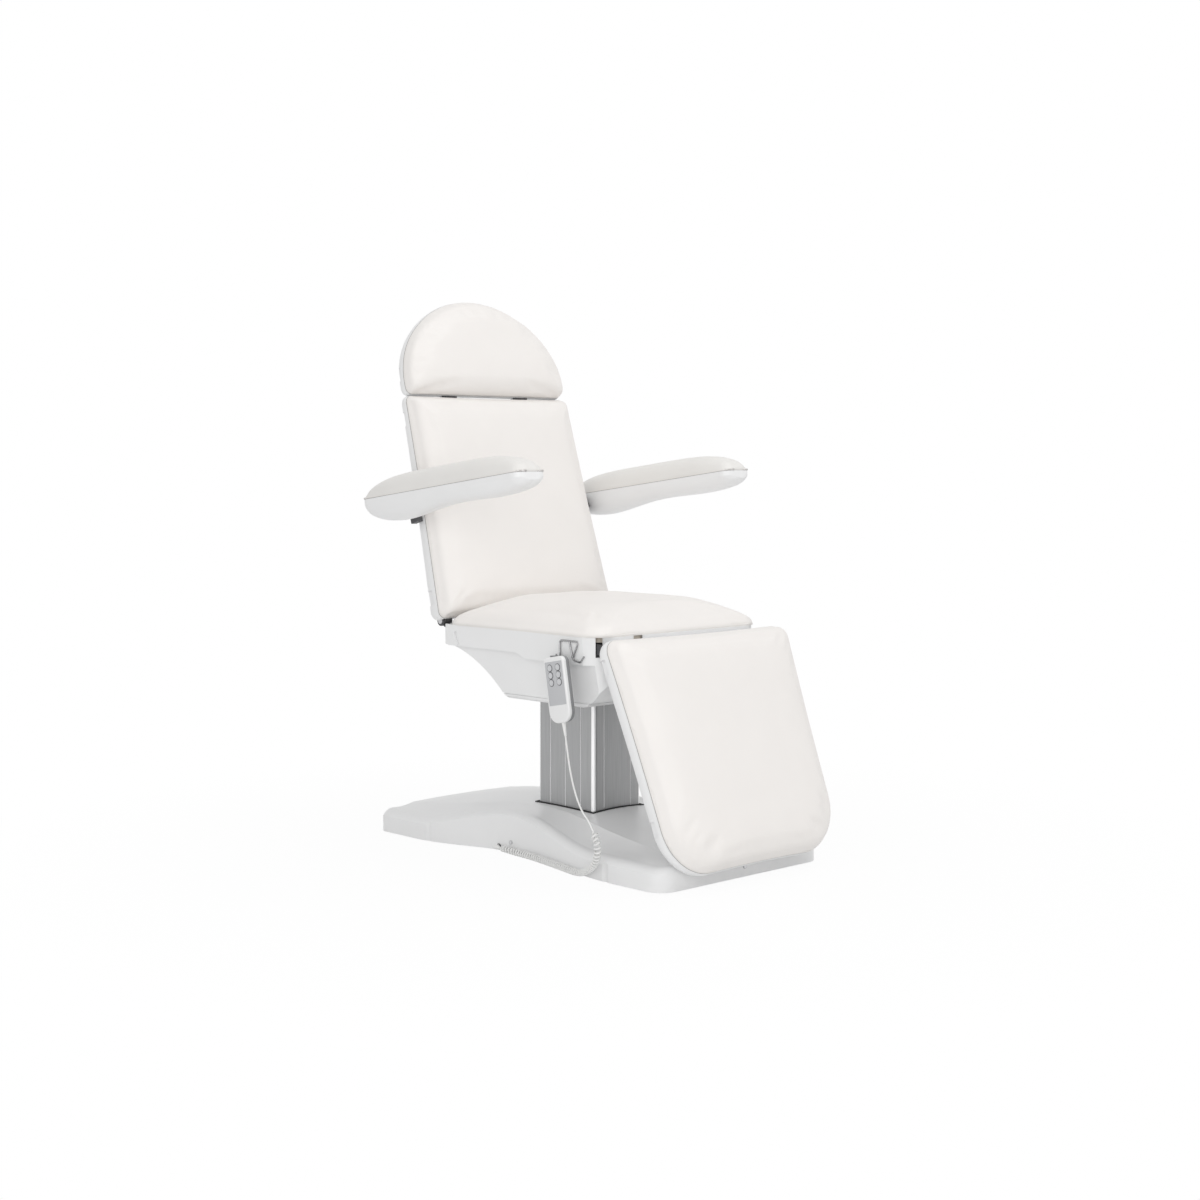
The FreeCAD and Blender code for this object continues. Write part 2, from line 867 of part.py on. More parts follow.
def tub_profile(inset, top, x_half):
    """Side profile of the underbody: a round lip at the rear, a scooped heel, a flat keel and a raised toe."""
    rear = tub_rear - inset
    front = tub_front + inset
    bottom = tub_bottom + inset
    radius = tub_lip_radius - inset
    centre = (tub_rear - tub_lip_radius, tub_top - tub_lip + tub_lip_radius)
    slant = radius * math.sqrt(0.5)
    lip = (centre[0], centre[1] - radius)
    heel = (tub_heel_y - inset * 0.5, bottom)
    toe = (tub_toe_y, bottom)
    shin = (front, tub_toe_z)
    fall = math.atan2(lip[1] - heel[1], lip[0] - heel[0])
    scoop = ((lip[0] + heel[0]) / 2 - tub_scoop * math.sin(fall),
             (lip[1] + heel[1]) / 2 + tub_scoop * math.cos(fall))
    sole = ((toe[0] + shin[0]) / 2 - tub_toe_bulge, (toe[1] + shin[1]) / 2 - tub_toe_bulge)
    return side_view([
        ((front, top), (rear, top)),
        ((rear, top), (rear, centre[1])),
        ((rear, centre[1]), (centre[0] + slant, centre[1] - slant), lip),
        (lip, scoop, heel),
        (heel, toe),
        (toe, sole, shin),
        (shin, (front, top))], x_half)


def tub_front_view(half_top, half_low, inset):
    """Prism along Y from the underbody's outline seen from the front."""
    low = tub_bottom + inset
    radius = tub_keel_radius
    a = half_low - inset
    b = half_top - inset
    tall = tub_top + 2 * overshoot
    corners = [(-a, low, radius), (a, low, radius), (b, tall, 2.0), (-b, tall, 2.0)]
    span = tub_rear - tub_front + 2 * overshoot
    face = Part.Face(outline(corners, lambda s: 0.0)).extrude(V(0, 0, span))
    return placed(face, FreeCAD.Placement(V(0, tub_rear + overshoot, 0), FreeCAD.Rotation(V(1, 0, 0), 90)))


def tub_plan(inset):
    half = band_half + 2 - inset
    toe = tub_front_corner - inset
    heel = tub_rear_corner - inset
    corners = [(-half, tub_front + inset, toe), (half, tub_front + inset, toe),
               (half, tub_rear - inset, heel), (-half, tub_rear - inset, heel)]
    low = tub_bottom - overshoot
    return Part.Face(outline(corners, lambda s: low)).extrude(V(0, 0, tub_top - low + 2 * overshoot))


def band_region():
    """Space above the lower edge of the raised band, which falls in an S towards the front."""
    rear = tub_top - band_rear_height
    front = tub_top - band_front_height
    high = tub_top + overshoot
    start, end = band_step_y + band_step_run, band_step_y - band_step_run
    middle = (band_step_y, (rear + front) / 2)
    drop = (rear - front) / 2
    radius = (band_step_run ** 2 + drop ** 2) / (2 * drop)
    half = math.asin(band_step_run / radius) / 2
    along, down = radius * math.sin(half), radius * (1 - math.cos(half))
    return side_view([
        ((tub_front - overshoot, high), (tub_rear + overshoot, high)),
        ((tub_rear + overshoot, high), (tub_rear + overshoot, rear)),
        ((tub_rear + overshoot, rear), (start, rear)),
        ((start, rear), (start - along, rear - down), middle),
        (middle, (end + along, front + down), (end, front)),
        ((end, front), (tub_front - overshoot, front)),
        ((tub_front - overshoot, front), (tub_front - overshoot, high))], band_half + overshoot)


def tub_slot():
    """Leaning pocket in the rear end of the band, on the right."""
    half_x, half_y, radius = slot_width / 2, slot_height / 2, slot_width * 0.49
    corners = [(-half_x, -half_y, radius), (half_x, -half_y, radius),
               (half_x, half_y, radius), (-half_x, half_y, radius)]
    pocket = Part.Face(outline(corners, lambda s: 0.0)).extrude(V(0, 0, 2 * slot_depth))
    turn = math.radians(slot_lean)
    upward = V(0, math.sin(turn), math.cos(turn))
    return placed(pocket, placement(V(slot_depth - band_half, slot_y, slot_z), upward, V(-1, 0, 0)))


def tub_line():
    """Shallow line round the underbody just above its lower edge."""
    low = tub_bottom + tub_line_height
    slab = box(-band_half, band_half, tub_front - overshoot, tub_rear + overshoot, low, low + tub_line_width)
    core = tub_profile(tub_line_depth, tub_top, band_half + overshoot).common(tub_plan(tub_line_depth))
    return slab.cut(core.common(tub_front_view(body_half, keel_half, tub_line_depth)))


def seat_tub():
    outer = tub_profile(0, tub_top, band_half + overshoot).common(tub_plan(0))
    band = outer.common(tub_front_view(band_half, band_half - 2, 0)).common(band_region())
    body = outer.common(tub_front_view(body_half, keel_half, 0))
    inside = tub_profile(sheet_wall, tub_top + overshoot, band_half + overshoot).common(tub_plan(sheet_wall))
    inside = inside.common(tub_front_view(body_half, keel_half, sheet_wall))
    well_x, well_y = inner_x / 2 + 1, inner_y / 2 + 1
    cuts = [inside, box(-well_x, well_x, -well_y, well_y, tub_bottom - overshoot, tub_floor + overshoot)]
    head_x = head_plate_x + board_gap
    cuts.append(box(-head_x, head_x, 0, head_plate_y + board_gap, tub_floor, seat_rail_z))
    room = ear_thickness / 2 + 3
    for x in (-ear_x, ear_x):
        for first, last in ((tub_rear - ear_slot_rear, tub_rear + overshoot),
                            (tub_front - overshoot, tub_front + ear_slot_front)):
            cuts.append(box(x - room, x + room, first, last, seat_rail_z - 3, tub_top + overshoot))
    sweep = eye_width / 2 + eye_wall + 3
    cuts.append(box(actuator_x - sweep, actuator_x + sweep, back_motor_rear, tub_rear + overshoot,
                    back_actuator_z - rod_room, tub_top + overshoot))
    cuts.append(box(-actuator_x - sweep, -actuator_x + sweep, tub_front - overshoot, tub_front + rod_slot_front,
                    leg_actuator_z - rod_room, tub_top + overshoot))
    cuts += pair(tub_slot())
    cuts.append(tub_line())
    return fuse([band, body]).cut(cuts)


def ear(hinge_y, hinge_z, rail_y):
    """Plate on the seat frame that carries one hinge pin."""
    low, high = seat_rail_z + 2, seat_board_z - 2
    x0, x1 = ear_x - ear_thickness / 2, ear_x + ear_thickness / 2
    side = 1 if hinge_y > rail_y else -1
    eye_low = max(hinge_z - hinge_ear, low)
    root = rail_y - side * web_rise
    eye_high = min(hinge_z + web_rise, high + web_cap)
    web = side_view([
        ((root, low), (root, high)),
        ((root, high), (hinge_y, eye_high)),
        ((hinge_y, eye_high), (hinge_y, eye_low)),
        ((hinge_y, eye_low), (root, low))], ear_thickness / 2)
    web.translate(V(ear_x, 0, 0))
    eye = rod(V(x0, hinge_y, hinge_z), V(x1, hinge_y, hinge_z), hinge_ear)
    bore = rod(V(x0, hinge_y, hinge_z), V(x1, hinge_y, hinge_z), hinge_pin)
    return fuse([web, eye]).cut(bore)


def seat_frame():
    top = seat_board_z
    low = seat_rail_z
    parts = [box(-head_plate_x, head_plate_x, -head_plate_y, head_plate_y,
                 head_plate_z, head_plate_z + head_plate_height)]
    web_y = cross_bar_y + frame_tube
    parts += pair(box(web_x, web_x + web_thickness, -web_y, web_y, head_plate_z, low))
    parts += pair(box(frame_half - frame_tube, frame_half, frame_front, frame_rear, low, top))
    for y in (frame_front, -web_y, cross_bar_y, frame_rear - frame_tube):
        parts.append(box(-frame_half, frame_half, y, y + frame_tube, low, top))
    parts += pair(ear(back_hinge_y, back_hinge_z, frame_rear))
    parts += pair(ear(leg_hinge_y, leg_hinge_z, frame_front))
    return fuse(parts)


def hinge_pins(y, z):
    reach = ear_thickness + lug_gap + ear_thickness / 2
    pin = rod(V(ear_x - reach - 2, y, z), V(ear_x + reach + 2, y, z), hinge_pin)
    return pair(pin)


def seat_board():
    half = body_half - 2 * sheet_wall
    front = tub_front + 2 * sheet_wall
    radius = tub_front_corner - 3 * sheet_wall
    corners = [(-half, front, radius), (half, front, radius),
               (half, frame_rear, sheet_wall), (-half, frame_rear, sheet_wall)]
    return Part.Face(outline(corners, lambda s: seat_board_z)).extrude(V(0, 0, board_thickness))


def seat_wire(inset, height):
    a = seat_half - inset
    radius = seat_corner + inset * corner_growth
    front = seat_front + inset * seat_front_share
    rear = seat_rear - inset * seat_rear_share
    corners = [(-a, front, radius), (a, front, radius), (a, rear, radius), (-a, rear, radius)]
    return outline(corners, height, side_draw)


def seat_cushion():
    """Seat pad, cut away at the rear where it tucks under the backrest's lower edge."""
    pad = cushion(seat_wire, seat_crown, seat_edge, seat_deep, seat_waist, seat_brow)
    pad = placed(pad, FreeCAD.Placement(V(0, 0, tub_top), FreeCAD.Rotation()))
    high, behind = tub_top + 2 * seat_crown, seat_rear + 2 * seat_corner
    run = (seat_rear - seat_tuck_y) / (seat_tuck_high - seat_tuck_low)
    far_low = (behind, seat_tuck_low - (behind - seat_rear) / run)
    tuck = side_view([
        (far_low, (seat_tuck_y, seat_tuck_high)),
        ((seat_tuck_y, seat_tuck_high), (seat_tuck_y, high)),
        ((seat_tuck_y, high), (behind, high)),
        ((behind, high), far_low)], 2 * seat_half)
    return pad.cut(tuck)


def control_box():
    half = control_length / 2
    body = box(-half, half, control_front, control_front + control_width, tub_floor,
               tub_floor + control_height)
    lid_edge = 6.0
    lid = box(-half + lid_edge, half - lid_edge, control_front + lid_edge,
              control_front + control_width - lid_edge, tub_floor + control_height,
              tub_floor + control_height + 3)
    return fuse([body, lid])


# Push motors of the back and the leg rest

def motor_body(x, front, rear, z, mouth, bore_length):
    """Motor tube along Y with a blind bore at its mouth and a lug under the seat frame's bar."""
    tube = rod(V(x, front, z), V(x, rear, z), actuator_radius)
    end = rear if mouth > 0 else front
    bore = rod(V(x, end, z), V(x, end - mouth * bore_length, z), actuator_bore)
    bar_y = -cross_bar_y - frame_tube
    lug = box(x - motor_lug, x + motor_lug, bar_y + 2, bar_y + frame_tube - 2, z, seat_rail_z)
    return fuse([tube, lug]).cut(bore)


def push_rod(x, z, start, eye_y, slot_low, slot_high, mouth):
    """Rod with a forked eye whose upright slot lets the crank's pin rise and fall."""
    half = crank_pin + crank_play
    outer = half + eye_wall
    root = crank_bar + crank_play + eye_wall
    near, far = eye_y - mouth * root, eye_y + mouth * fork_reach
    heel = near - mouth * eye_wall
    shaft = rod(V(x, start, z), V(x, near, z), rod_radius)
    block = box(x - outer, x + outer, min(heel, eye_y + mouth * outer), max(heel, eye_y + mouth * outer),
                slot_low - half - eye_wall, slot_high + half + eye_wall)
    slot = box(x - outer - 1, x + outer + 1, eye_y - half, eye_y + half, slot_low - half, slot_high + half)
    gap = crank_plate / 2 + 1
    fork = box(x - gap, x + gap, min(near, far), max(near, far), slot_low - fork_reach, slot_high + fork_reach)
    return fuse([shaft, block]).cut([slot, fork])


def crank(x, hinge_y, hinge_z, dy, dz, root):
    """Plate from a panel's frame to its crank pin, drawn in the YZ plane at the rest pose."""
    pin_y, pin_z = hinge_y + dy, hinge_z + dz
    x0, x1 = x - crank_plate / 2, x + crank_plate / 2
    bar = V(0, pin_y - root[0], pin_z - root[1])
    across = V(0, -bar.z, bar.y).normalize() * crank_bar
    a, b = V(x0, root[0], root[1]), V(x0, pin_y, pin_z)
    plate = Part.Face(Part.makePolygon([a + across, b + across, b - across, a - across, a + across]))
    plate = plate.extrude(V(crank_plate, 0, 0))
    disc = rod(V(x0, pin_y, pin_z), V(x1, pin_y, pin_z), crank_bar)
    reach = crank_plate / 2 + crank_pin + crank_play + 2
    pin = rod(V(x - reach, pin_y, pin_z), V(x + reach, pin_y, pin_z), crank_pin)
    return fuse([plate, disc, pin])


# Backrest

back_turn = math.radians(back_lean)
back_along = V(0, math.sin(back_turn), math.cos(back_turn))
back_normal = V(0, -math.cos(back_turn), math.sin(back_turn))
back_origin = V(0, back_y, back_z)
back_place = placement(back_origin, back_along, back_normal)


def back_wire(inset, height):
    corners = tapered(back_half_low, back_half_high, back_length, back_corner, back_corner, inset)
    return outline(corners, height, side_draw)


def back_depth(s):
    return back_depth_low + (back_depth_high - back_depth_low) * s / back_length


def in_back(y, z):
    """A point of the YZ plane as (distance along the back, distance in front of its seam plane)."""
    offset = V(0, y, z) - back_origin
    return offset.dot(back_along), offset.dot(back_normal)


def back_half_at(s):
    return back_half_low + (back_half_high - back_half_low) * s / back_length


def lug_pair(s, t, reach, floor):
    """Two plates either side of a seat frame ear, from the panel's rail to the hinge axis."""
    lugs = []
    for side in (-1, 1):
        inner = ear_x + side * (ear_thickness / 2 + lug_gap)
        outer = inner + side * ear_thickness
        x0, x1 = min(inner, outer), max(inner, outer)
        plate = box(x0, x1, s, reach, max(t - hinge_ear / 2, floor), min(t + hinge_ear / 2, rail_top))
        eye = rod(V(x0, s, t), V(x1, s, t), hinge_ear)
        bore = rod(V(x0, s, t), V(x1, s, t), hinge_pin + running_clearance)
        lugs.append(fuse([plate, eye]).cut(bore))
    return lugs


rail_top = -panel_board
rail_bottom = -panel_board - panel_rail_depth


def panel_frame(first, last):
    """Ladder of flat bars behind a panel's board; its first bar reaches out to the hinge lugs."""
    parts = pair(box(rail_outer - panel_rail, rail_outer, first, last, rail_bottom, rail_top))
    for s, half in ((first, hinge_bar_half), ((first + last) / 2, rail_outer), (last - panel_rail, rail_outer)):
        parts.append(box(-half, half, s, s + panel_rail, rail_bottom, rail_top))
    return parts


def rail_side(length):
    """Space in front of the rails' rear faces, where a crank is trimmed to stand on them."""
    return box(-rail_outer, rail_outer, -length, length, rail_bottom, length)


def back_frame():
    hinge_s, hinge_t = in_back(back_hinge_y, back_hinge_z)
    first = rail_inset
    last = back_length - rail_inset
    parts = panel_frame(first, last)
    for lug in lug_pair(hinge_s, hinge_t, first + panel_rail, board_gap + sheet_wall - back_depth(first)):
        parts += pair(lug)
    pin_s, pin_t = head_axis()
    for offset in (-1, 1):
        centre = head_lug_x + offset * (head_lug_width / 2 + lug_gap + 4)
        plate = box(centre - 4, centre + 4, last - panel_rail, pin_s, pin_t - head_lug, rail_top)
        eye = rod(V(centre - 4, pin_s, pin_t), V(centre + 4, pin_s, pin_t), head_lug)
        bore = rod(V(centre - 4, pin_s, pin_t), V(centre + 4, pin_s, pin_t), head_pin)
        parts += pair(fuse([plate, eye]).cut(bore))
    frame = placed(fuse(parts), back_place)
    root = V(0, first + panel_rail / 2, (rail_top + rail_bottom) / 2)
    root = back_place.multVec(root)
    arm = crank(actuator_x, back_hinge_y, back_hinge_z, back_crank_y, back_crank_z, (root.y, root.z))
    return fuse([frame, arm.cut(placed(rail_side(back_length), back_place))])


def hinge_room(s, t, extra):
    """Clear space in a panel's shell and board round both hinge ears."""
    x0 = ear_x - 1.5 * ear_thickness - lug_gap - 2
    x1 = ear_x + 1.5 * ear_thickness + lug_gap + 2
    return pair(box(x0, x1, s - hinge_clear, s + hinge_ear + extra, t - hinge_clear, t + hinge_ear + 1))


def crank_room():
    """Slot in a panel's shell for its crank plate."""
    half = crank_plate / 2 + 2
    return box(actuator_x - half, actuator_x + half, -overshoot, crank_slot, -hinge_clear, rail_bottom)


def back_lugs_room():
    """Space in the backrest's upper edge for the headrest's hinge."""
    low, high = back_length - head_lug_room, back_length + head_gap
    first, last = head_lug_x - head_room_half, head_lug_x + head_room_half
    return pair(box(first, last, low, high, -2 * head_depth, -lug_gap))


def back_shell():
    shell = pan(back_wire, back_depth, back_half_at, back_notches)
    hinge_s, hinge_t = in_back(back_hinge_y, back_hinge_z)
    cuts = hinge_room(hinge_s, hinge_t, 2)
    cuts.append(crank_room())
    cuts += back_lugs_room()
    axis = V(0, arm_pivot_s, arm_pivot_t)
    for side in (-1, 1):
        cuts.append(rod(axis + V(side * rail_outer, 0, 0), axis + V(side * arm_x, 0, 0),
                        arm_pivot_radius + seat_gap))
    return placed(shell.cut(cuts), back_place)


def back_board():
    hinge_s, hinge_t = in_back(back_hinge_y, back_hinge_z)
    slab = flat(back_wire, sheet_wall + board_gap, 0, panel_board)
    cuts = hinge_room(hinge_s, hinge_t, 2)
    cuts += side_notches(back_half_at, back_depth, back_notches, sheet_wall + board_gap)
    cuts += back_lugs_room()
    return placed(slab.cut(cuts), back_place)


def back_cushion():
    return placed(cushion(back_wire, back_crown, panel_edge, panel_deep), back_place)


def arm_pivots():
    """Shafts of the armrests, each with the plate that holds it to the backrest's side."""
    axis = V(0, arm_pivot_s, arm_pivot_t)
    shaft = rod(axis + V(rail_outer, 0, 0), axis + V(arm_pivot_reach, 0, 0), arm_pivot_radius)
    low = arm_pivot_s - pivot_plate_low
    inner = back_half_at(low) + seat_gap
    plate = box(inner, inner + pivot_plate, low, arm_pivot_s + pivot_plate_high,
                arm_pivot_t - pivot_plate_half, arm_pivot_t + pivot_plate_half)
    return [placed(shape, back_place) for shape in pair(fuse([shaft, plate]))]


# Headrest

def head_axis():
    """Hinge axis of the headrest in the backrest's plane."""
    return back_length + head_gap / 2, -head_axis_depth


head_place = placement(back_origin + back_along * (back_length + head_gap), back_along, back_normal)


def head_hinge_pin():
    pin_s, pin_t = head_axis()
    first, last = head_lug_x - head_pin_reach, head_lug_x + head_pin_reach
    pin = rod(V(first, pin_s, pin_t), V(last, pin_s, pin_t), head_pin)
    return [placed(shape, back_place) for shape in pair(pin)]


def head_lugs_room():
    """Space in the headrest's lower edge for the hinge, in the headrest's own frame."""
    high = head_lug + head_gap
    first, last = head_lug_x - head_room_half, head_lug_x + head_room_half
    return pair(box(first, last, -high, high, -2 * head_depth, -lug_gap))


def head_half_at(s):
    return head_half


def head_depth_at(s):
    return head_depth


def head_shell():
    shell = pan(head_wire, head_depth_at, head_half_at, head_notches)
    return placed(shell.cut(head_lugs_room()), head_place)


def head_board():
    slab = flat(head_wire, sheet_wall + board_gap, 0, panel_board)
    notches = side_notches(head_half_at, head_depth_at, head_notches, sheet_wall + board_gap)
    return placed(slab.cut(head_lugs_room() + notches), head_place)


def head_cushion():
    return placed(cushion(head_wire, head_crown, panel_edge, head_deep), head_place)


def head_leaf():
    """Steel leaf screwed under the headrest's board, with two knuckles round the hinge pins."""
    pin_s, pin_t = head_axis()
    s = pin_s - back_length - head_gap
    half = head_lug_x + leaf_margin
    parts = [box(-half, half, leaf_start, leaf_end, rail_top - leaf_thickness, rail_top)]
    for x in (-head_lug_x, head_lug_x):
        x0, x1 = x - head_lug_width / 2, x + head_lug_width / 2
        parts.append(box(x0, x1, s, knuckle_arm, rail_top - leaf_thickness, rail_top))
        parts.append(rod(V(x0, s, pin_t), V(x1, s, pin_t), head_lug))
    bores = []
    for x in (-head_lug_x, head_lug_x):
        x0, x1 = x - head_lug_width / 2, x + head_lug_width / 2
        bores.append(rod(V(x0, s, pin_t), V(x1, s, pin_t), head_pin + running_clearance))
    return placed(fuse(parts).cut(bores), head_place)


# Armrests

arm_turn = math.radians(arm_rise)
arm_along = V(0, -math.cos(arm_turn), math.sin(arm_turn))
arm_normal = V(0, math.sin(arm_turn), math.cos(arm_turn))


def arm_station(share):
    """Half width, underside depth and pad height of an armrest, at a share of its length from the rear."""
    taper = 1 - abs(2 * share - 1) ** 5
    half = arm_half - end_rounding(arm_length * min(share, 1 - share), arm_corner)
    if share < 0.55:
        blend = (1 + math.cos(math.pi * min(max(share - 0.12, 0) / 0.43, 1))) / 2
        depth = arm_depth_middle + (arm_depth_rear - arm_depth_middle) * blend
    else:
        blend = (1 - math.cos(math.pi * min((share - 0.55) / 0.3, 1))) / 2
        depth = arm_depth_middle + (arm_depth_front - arm_depth_middle) * blend
    depth *= 0.12 + 0.88 * taper ** 0.55
    crown = arm_crown * (0.15 + 0.85 * taper ** 0.75)
    return half, depth, crown


arm_shares = [0.0, 0.008, 0.025, 0.06, 0.14, 0.28, 0.45, 0.6, 0.75, 0.87, 0.94, 0.975, 0.992, 1.0]


def arm_hull():
    """Moulded under-shell of an armrest: a boat-like hull with a rim round the pad."""
    wires = []
    for share in arm_shares:
        half, depth, crown = arm_station(share)
        s = share * arm_length
        low = V(0, s, -depth)
        right, left = V(half, s, 0), V(-half, s, 0)
        swell = V(half * 0.8, s, -depth * 0.72)
        edges = [
            Part.LineSegment(V(-half, s, arm_rim), V(half, s, arm_rim)).toShape(),
            Part.LineSegment(V(half, s, arm_rim), right).toShape(),
            Part.Arc(right, swell, low).toShape(),
            Part.Arc(low, V(-swell.x, s, swell.z), left).toShape(),
            Part.LineSegment(left, V(-half, s, arm_rim)).toShape()]
        wires.append(Part.Wire(edges))
    return stack(wires)


def arm_pad_form():
    wires = []
    for share in arm_shares:
        half, depth, crown = arm_station(share)
        half -= 1.5
        s = share * arm_length
        right, left = V(half, s, arm_rim), V(-half, s, arm_rim)
        top = V(0, s, arm_rim + crown)
        bulge = V(half * 0.82, s, arm_rim + crown * 0.72)
        edges = [
            Part.LineSegment(left, right).toShape(),
            Part.Arc(right, bulge, top).toShape(),
            Part.Arc(top, V(-bulge.x, s, bulge.z), left).toShape()]
        wires.append(Part.Wire(edges))
    return stack(wires)


def arm_place(side):
    origin = V(side * arm_x, arm_rear_y, arm_rear_z)
    return placement(origin, arm_along, arm_normal)


def arm_shell(side):
    hull = placed(arm_hull(), arm_place(side))
    axis = back_place.multVec(V(0, arm_pivot_s, arm_pivot_t))
    bore = rod(axis + V(side * (arm_x - arm_half - 5), 0, 0), axis + V(side * (arm_pivot_reach + 1), 0, 0),
               arm_pivot_radius + running_clearance)
    return hull.cut(bore)


def arm_pad(side):
    return placed(arm_pad_form(), arm_place(side))


# Leg rest

leg_turn = math.radians(leg_lean)
leg_along = V(0, -math.sin(leg_turn), -math.cos(leg_turn))
leg_normal = V(0, -math.cos(leg_turn), math.sin(leg_turn))
leg_origin = V(0, leg_y, leg_z)
leg_place = placement(leg_origin, leg_along, leg_normal)


def leg_wire(inset, height):
    corners = tapered(leg_half_high, leg_half_low, leg_length, leg_corner_high, leg_corner_low, inset)
    return outline(corners, height, side_draw)


def leg_half_at(s):
    return leg_half_high + (leg_half_low - leg_half_high) * s / leg_length


def in_leg(y, z):
    offset = V(0, y, z) - leg_origin
    return offset.dot(leg_along), offset.dot(leg_normal)


def leg_depth_at(s):
    return leg_depth


def leg_shell():
    shell = pan(leg_wire, leg_depth_at, leg_half_at, leg_notches)
    hinge_s, hinge_t = in_leg(leg_hinge_y, leg_hinge_z)
    cuts = hinge_room(hinge_s, hinge_t, 4)
    # The panel's own X runs towards -X, so the crank on the -X side is at a positive place here.
    cuts.append(crank_room())
    return placed(shell.cut(cuts), leg_place)


def leg_board():
    hinge_s, hinge_t = in_leg(leg_hinge_y, leg_hinge_z)
    slab = flat(leg_wire, sheet_wall + board_gap, 0, panel_board)
    notches = side_notches(leg_half_at, leg_depth_at, leg_notches, sheet_wall + board_gap)
    return placed(slab.cut(hinge_room(hinge_s, hinge_t, 4) + notches), leg_place)


def leg_cushion():
    return placed(cushion(leg_wire, leg_crown, panel_edge, panel_deep), leg_place)


def leg_frame():
    hinge_s, hinge_t = in_leg(leg_hinge_y, leg_hinge_z)
    first = leg_rail_first
    last = leg_length - leg_rail_end
    parts = panel_frame(first, last)
    for lug in lug_pair(hinge_s, hinge_t, first + panel_rail, board_gap + sheet_wall - leg_depth):
        parts += pair(lug)
    frame = placed(fuse(parts), leg_place)
    root = leg_place.multVec(V(0, first + panel_rail / 2, (rail_top + rail_bottom) / 2))
    arm = crank(-actuator_x, leg_hinge_y, leg_hinge_z, leg_crank_y, leg_crank_z, (root.y, root.z))
    return fuse([frame, arm.cut(placed(rail_side(leg_length), leg_place))])


# Handset, drawn face up with Y towards its top, then hung on its hook

handset_turn = math.radians(handset_tilt)
handset_up = V(0, math.sin(handset_turn), math.cos(handset_turn))
handset_place = placement(V(handset_x, handset_y, handset_z), handset_up, V(-1, 0, 0))


def handset_wire(inset, z):
    half = handset_width / 2 - inset
    top = handset_length / 2 - inset
    radius = max(handset_corner - inset, 3.0)
    chin = max(handset_chin - inset, 3.0)
    corners = [(-half, -top, chin), (half, -top, chin), (half, top, radius), (-half, top, radius)]
    return outline(corners, lambda s: z)


def handset_front():
    face = handset_depth / 2
    split = face - handset_split
    levels = [(split, 0.0), (face - 3, 0.0), (face - 1, 1.0), (face, 3.0)]
    case = stack([handset_wire(inset, z) for z, inset in levels])
    half, top = panel_width / 2, panel_top
    pocket = box(-half, half, top - panel_length, top, face - panel_thickness - key_travel, face + 1)
    return case.cut(pocket)


def handset_back():
    back = -handset_depth / 2
    split = handset_depth / 2 - handset_split
    levels = [(back, 5.0), (back + 3, 1.5), (back + 6, 0.5), (split, 0.5)]
    case = placed(stack([handset_wire(inset, z) for z, inset in levels]), handset_place)
    tip_x = hook_plane() - 2 * hook_bend
    low = hook_valley + 1
    clip = box(handset_x + handset_depth / 2 - 6, tip_x + hook_wire + 1.6, hook_y - clip_width / 2,
               hook_y + clip_width / 2, low, low + clip_height)
    hole = rod(V(tip_x, hook_y, low), V(tip_x, hook_y, low + clip_height), hook_wire + seat_gap)
    return fuse([case, clip]).cut(hole)


def key_sites():
    sites = []
    for row in range(3):
        for x in (-key_pitch_x / 2, key_pitch_x / 2):
            sites.append((x, key_first - row * key_pitch_y))
    return sites


def keypad_panel():
    face = handset_depth / 2
    half, top = panel_width / 2, panel_top
    low = face - panel_thickness - key_travel
    sheet = box(-half, half, top - panel_length, top, low, face - key_travel + 0.4)
    cuts = []
    for x, y in key_sites():
        cuts.append(rod(V(x, y, low + 0.6 - 0.4), V(x, y, face + 2), key_radius + seat_gap))
    return sheet.cut(cuts)


def handset_key(x, y):
    face = handset_depth / 2
    low = face - panel_thickness - key_travel + 0.2 + key_travel + seat_gap
    key = rod(V(x, y, low), V(x, y, low + key_height), key_radius)
    return key


def cord_relief():
    bottom = -handset_length / 2 - seat_gap
    cone = Part.makeCone(relief_top, cord_radius + 0.6, relief_length, V(0, bottom, 0), V(0, -1, 0))
    return cone


def hook_plane():
    """X of the hook wire's centre, against the underbody's band."""
    return -band_half - hook_wire


def bent_path(points, radii):
    """Straight runs joined by tangent arcs, one radius for each inner point."""
    edges = []
    start = points[0]
    for i in range(1, len(points) - 1):
        before = (points[i - 1] - points[i]).normalize()
        after = (points[i + 1] - points[i]).normalize()
        half = before.getAngle(after) / 2
        reach = radii[i - 1] / math.tan(half)
        middle = points[i] + (before + after).normalize() * (radii[i - 1] / math.sin(half) - radii[i - 1])
        leave = points[i] + before * reach
        if (leave - start).Length > 1e-6:
            edges.append(curve((start, leave)))
        start = points[i] + after * reach
        edges.append(curve((leave, middle, start)))
    edges.append(curve((start, points[-1])))
    return edges


def tube(edges, radius):
    """Round wire along a path of lines and tangent arcs."""
    start = edges[0].valueAt(edges[0].FirstParameter)
    heading = edges[0].tangentAt(edges[0].FirstParameter)
    section = Part.Wire(Part.makeCircle(radius, start, heading))
    return Part.Wire(edges).makePipeShell([section], True, False)


